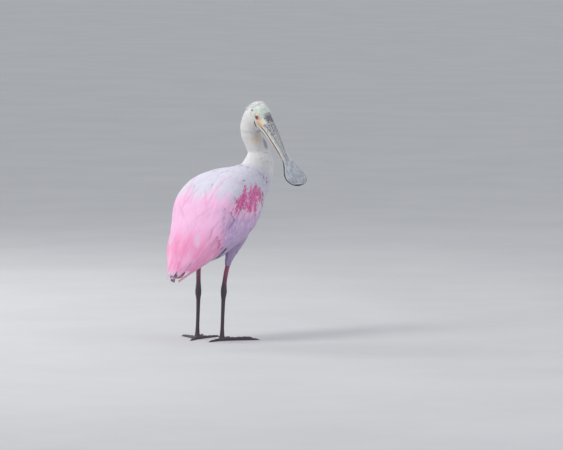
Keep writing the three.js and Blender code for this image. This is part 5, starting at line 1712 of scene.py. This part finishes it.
def foot_pad(shape, side):
    """The pad under the ankle, round and narrowing up to the leg."""
    profile = ((0.3, 0.02), (8.0, 0.02), (8.8, 1.6), (8.1, 4), (6.4, 6.4), (5.5, 8.9), (5.2, 9.4))
    radius, height = spline(profile, np.linspace(0, len(profile) - 1, 30)).T[..., None]
    turn = np.linspace(0, FULL_TURN, 48, endpoint=False)
    z = np.maximum(height, 0.02)
    points = local_points(ankle(side), np.eye(3), (radius * np.cos(turn), radius * np.sin(turn), z))
    shape.grid(points, (0.5, 0.95), wrap=True, around=turn * 6, length=z + 200)


def web(shape, side, first, second):
    """The skin between two toes, hollow along its free edge."""
    t = np.linspace(0, 1, 14)
    reach = MIDDLE_TOE * 0.3 * (1 - 0.32 * np.sin(math.pi * t))
    way = unit(toe_heading(side, first) * (1 - t)[:, None] + toe_heading(side, second) * t[:, None])
    share = np.linspace(0.12, 1, 10)[:, None, None]
    points = ankle(side) + way * (reach[:, None] * share)
    ring = np.concatenate((points + UP * (2.4 - 1.2 * share), (points + UP * 0.3)[:, ::-1]), 1)
    shape.grid(ring, (0.6, 0.9), wrap=True, cap=True, around=ring[..., 0], length=ring[..., 1])


def claw_material():
    """Dark horn, paler where it leaves the toe."""
    material, shader, surface = new_material("Claw horn")
    grain = shader.noise(shader.here(), 700.0, 3.0, 0.6)
    claw = bpy.context.scene.spoonbill_colours.claw
    colour = shader.mix(shader.ramp(grain, 0.35, 0.7, 0.0, 0.5), claw, (0.09, 0.07, 0.075, 1))
    colour = shader.over(colour, (0.12, 0.09, 0.1, 1), shader.ramp(shader.value("along"), 0.0, 0.3, 0.4, 0.0))
    finish(shader, surface, colour, shader.ramp(grain, 0.3, 0.7, 0.25, 0.42), grain, 0.2, 0.0003)
    return material


class SPOONBILL_OT_feet(bpy.types.Operator):
    """Builds long toes with plates on top, small webs at their roots, and curved claws"""

    bl_idname = "spoonbill.feet"
    bl_label = "Feet"

    def execute(self, context):
        leg = context.scene.spoonbill_colours.leg
        material = scaled_skin("Foot skin", leg, leg, (0.0, 0.01))
        horn = claw_material()
        for side in SIDES:
            shape = Shape()
            for k, (toe, (_, length, claw, joints)) in enumerate(TOES.items()):
                t = np.linspace(0, 1, 90)
                swell = sum(np.exp(-(((t - joint) / 0.06) ** 2)) for joint in joints)
                size = (1 - 0.38 * t) * (1 + 0.18 * swell)
                tall = 0.96 + 0.035 * np.abs(np.sin(t * length * math.pi / 2.6))
                half, height = TOE_HALF_WIDTH * size * 0.98, TOE_HEIGHT * size * tall
                ring, distance = toe_ring(side, toe, TOE_ROOT, length, half, height)
                around = np.linspace(0, 1, ring.shape[1])
                bake = pairs_of(0.05 + 0.9 * t[:, None], 0.05 + 0.2 * k + 0.15 * around)
                shape.grid(ring, bake, wrap=True, cap=True, around=around * 22, length=distance)
                claws = Shape()
                t = np.linspace(0, 1, 24)
                half, height = 1.7 + (0.22 - 1.7) * t**1.3, 3.5 + (0.5 - 3.5) * t**1.2
                ring, _ = toe_ring(side, toe, length - 0.6, length + 0.3 + claw, half, height, low=0.4)
                bake = pairs_of(0.1 + 0.8 * t[:, None], 0.1 + 0.8 * around)
                claws.grid(ring, bake, wrap=True, cap=True, along=t[:, None])
                claws.build(f"claw_horn_{side}_{toe}", horn, "claw", f"claw_{side}_{toe}")
            foot_pad(shape, side)
            web(shape, side, "inner", "middle")
            web(shape, side, "middle", "outer")
            shape.build(f"foot_skin_{side}", material, "leg_skin", f"foot_{side}")
        return {"FINISHED"}


# The stage

CAMERA_TURN = math.radians(215)
CAMERA_RISE = math.radians(4)
IMAGE_WIDTH, IMAGE_HEIGHT = 563, 450
MM_PER_PIXEL = 2.05
FEET_PIXEL = (210.0, 340.0)
SENSOR = 36.0
FLOOR_REACH = 60.0


def link(name, data, location, back):
    """Sets an object in the scene that looks along a direction towards the bird."""
    thing = bpy.data.objects.new(name, data)
    thing.location = location
    thing.rotation_euler = back.to_track_quat("Z", "Y").to_euler()
    bpy.context.scene.collection.objects.link(thing)
    return thing


class SPOONBILL_OT_stage(bpy.types.Operator):
    """Sets a pale floor, soft studio light and the photograph's camera"""

    bl_idname = "spoonbill.stage"
    bl_label = "Stage"

    def execute(self, context):
        scene = context.scene
        mesh = bpy.data.meshes.new("floor")
        corners = [(x * FLOOR_REACH, y * FLOOR_REACH, 0) for x, y in ((-1, -1), (1, -1), (1, 1), (-1, 1))]
        mesh.from_pydata(corners, [], [(0, 1, 2, 3)])
        material, shader, surface = new_material("Studio floor", {"Roughness": 0.9})
        grain = shader.ramp(shader.noise(shader.here(), 3.0, 3.0, 0.6), 0.3, 0.7)
        paint = shader.mix(grain, scene.spoonbill_colours.floor, (0.55, 0.55, 0.545, 1))
        shader.feed(surface["Base Color"], paint)
        mesh.materials.append(material)
        floor = bpy.data.objects.new("floor", mesh)
        scene.collection.objects.link(floor)

        level = math.cos(CAMERA_RISE)
        back = Vector((math.sin(CAMERA_TURN) * level, -math.cos(CAMERA_TURN) * level, math.sin(CAMERA_RISE)))
        right = Vector((math.cos(CAMERA_TURN), math.sin(CAMERA_TURN), 0))
        origin = Vector(to_frame((0.0, 0.0, 0.0)))
        scale = MM_PER_PIXEL * MM
        aim = origin + right * ((IMAGE_WIDTH / 2 - FEET_PIXEL[0]) * scale)
        aim.z += (FEET_PIXEL[1] - IMAGE_HEIGHT / 2) * scale / level
        data = bpy.data.cameras.new("camera")
        data.sensor_width = SENSOR
        data.sensor_fit = "HORIZONTAL"
        distance = scene.spoonbill_sizes.camera_distance
        data.lens = SENSOR * distance / (IMAGE_WIDTH * scale)
        data.clip_end = 200
        scene.camera = link("camera", data, aim + back * distance, back)

        middle = origin + Vector((0, 0, 0.25))
        lights = (
            ("key", right * -1.9 + back * 0.9 + Vector((0, 0, 2.2)), 1.3, 44.0, (1.0, 0.98, 0.95)),
            ("fill", right * 2.0 + back * 2.0 + Vector((0, 0, 0.8)), 2.4, 12.0, (0.90, 0.94, 1.0)),
            ("rim", right * -1.5 - back * 1.6 + Vector((0, 0, 1.5)), 1.2, 20.0, (1.0, 1.0, 1.0)),
        )
        for name, offset, size, power, colour in lights:
            data = bpy.data.lights.new(name, "AREA")
            data.shape = "DISK"
            data.size = size
            data.energy = power
            data.color = colour
            link(name, data, middle + offset, offset)
        world = bpy.data.worlds.new("studio")
        world.use_nodes = True
        background = world.node_tree.nodes["Background"].inputs
        background["Color"].default_value = (0.90, 0.93, 1.0, 1.0)
        background["Strength"].default_value = 0.75
        scene.world = world
        scene.view_settings.view_transform = "Standard"
        return {"FINISHED"}


# The panel and the order of the pieces

OPERATORS = (
    SPOONBILL_OT_skin,
    SPOONBILL_OT_eyes,
    SPOONBILL_OT_bill,
    SPOONBILL_OT_legs,
    SPOONBILL_OT_feet,
    SPOONBILL_OT_body_feathers,
    SPOONBILL_OT_neck_feathers,
    SPOONBILL_OT_head_feathers,
    SPOONBILL_OT_thigh_feathers,
    SPOONBILL_OT_wing_feathers,
    SPOONBILL_OT_flank_feathers,
    SPOONBILL_OT_tail_coverts,
    SPOONBILL_OT_tail_feathers,
    SPOONBILL_OT_stage,
)


class SPOONBILL_PT_panel(bpy.types.Panel):
    """Lists the sizes, the colours and the pieces of the spoonbill"""

    bl_idname = "SPOONBILL_PT_panel"
    bl_label = "Roseate spoonbill"
    bl_space_type = "VIEW_3D"
    bl_region_type = "UI"
    bl_category = "Spoonbill"

    def draw(self, context):
        for group in (context.scene.spoonbill_sizes, context.scene.spoonbill_colours):
            for key in group.__annotations__:
                self.layout.prop(group, key)
        for kind in OPERATORS:
            self.layout.operator(kind.bl_idname)


CLASSES = (SpoonbillSizes, SpoonbillColours, *OPERATORS, SPOONBILL_PT_panel)


def register():
    for kind in CLASSES:
        bpy.utils.register_class(kind)
    bpy.types.Scene.spoonbill_sizes = PointerProperty(type=SpoonbillSizes)
    bpy.types.Scene.spoonbill_colours = PointerProperty(type=SpoonbillColours)


def unregister():
    del bpy.types.Scene.spoonbill_colours
    del bpy.types.Scene.spoonbill_sizes
    for kind in reversed(CLASSES):
        bpy.utils.unregister_class(kind)


def main():
    """Builds every piece in order."""
    register()
    for kind in OPERATORS:
        area, name = kind.bl_idname.split(".")
        getattr(getattr(bpy.ops, area), name)()


if __name__ == "__main__":
    main()
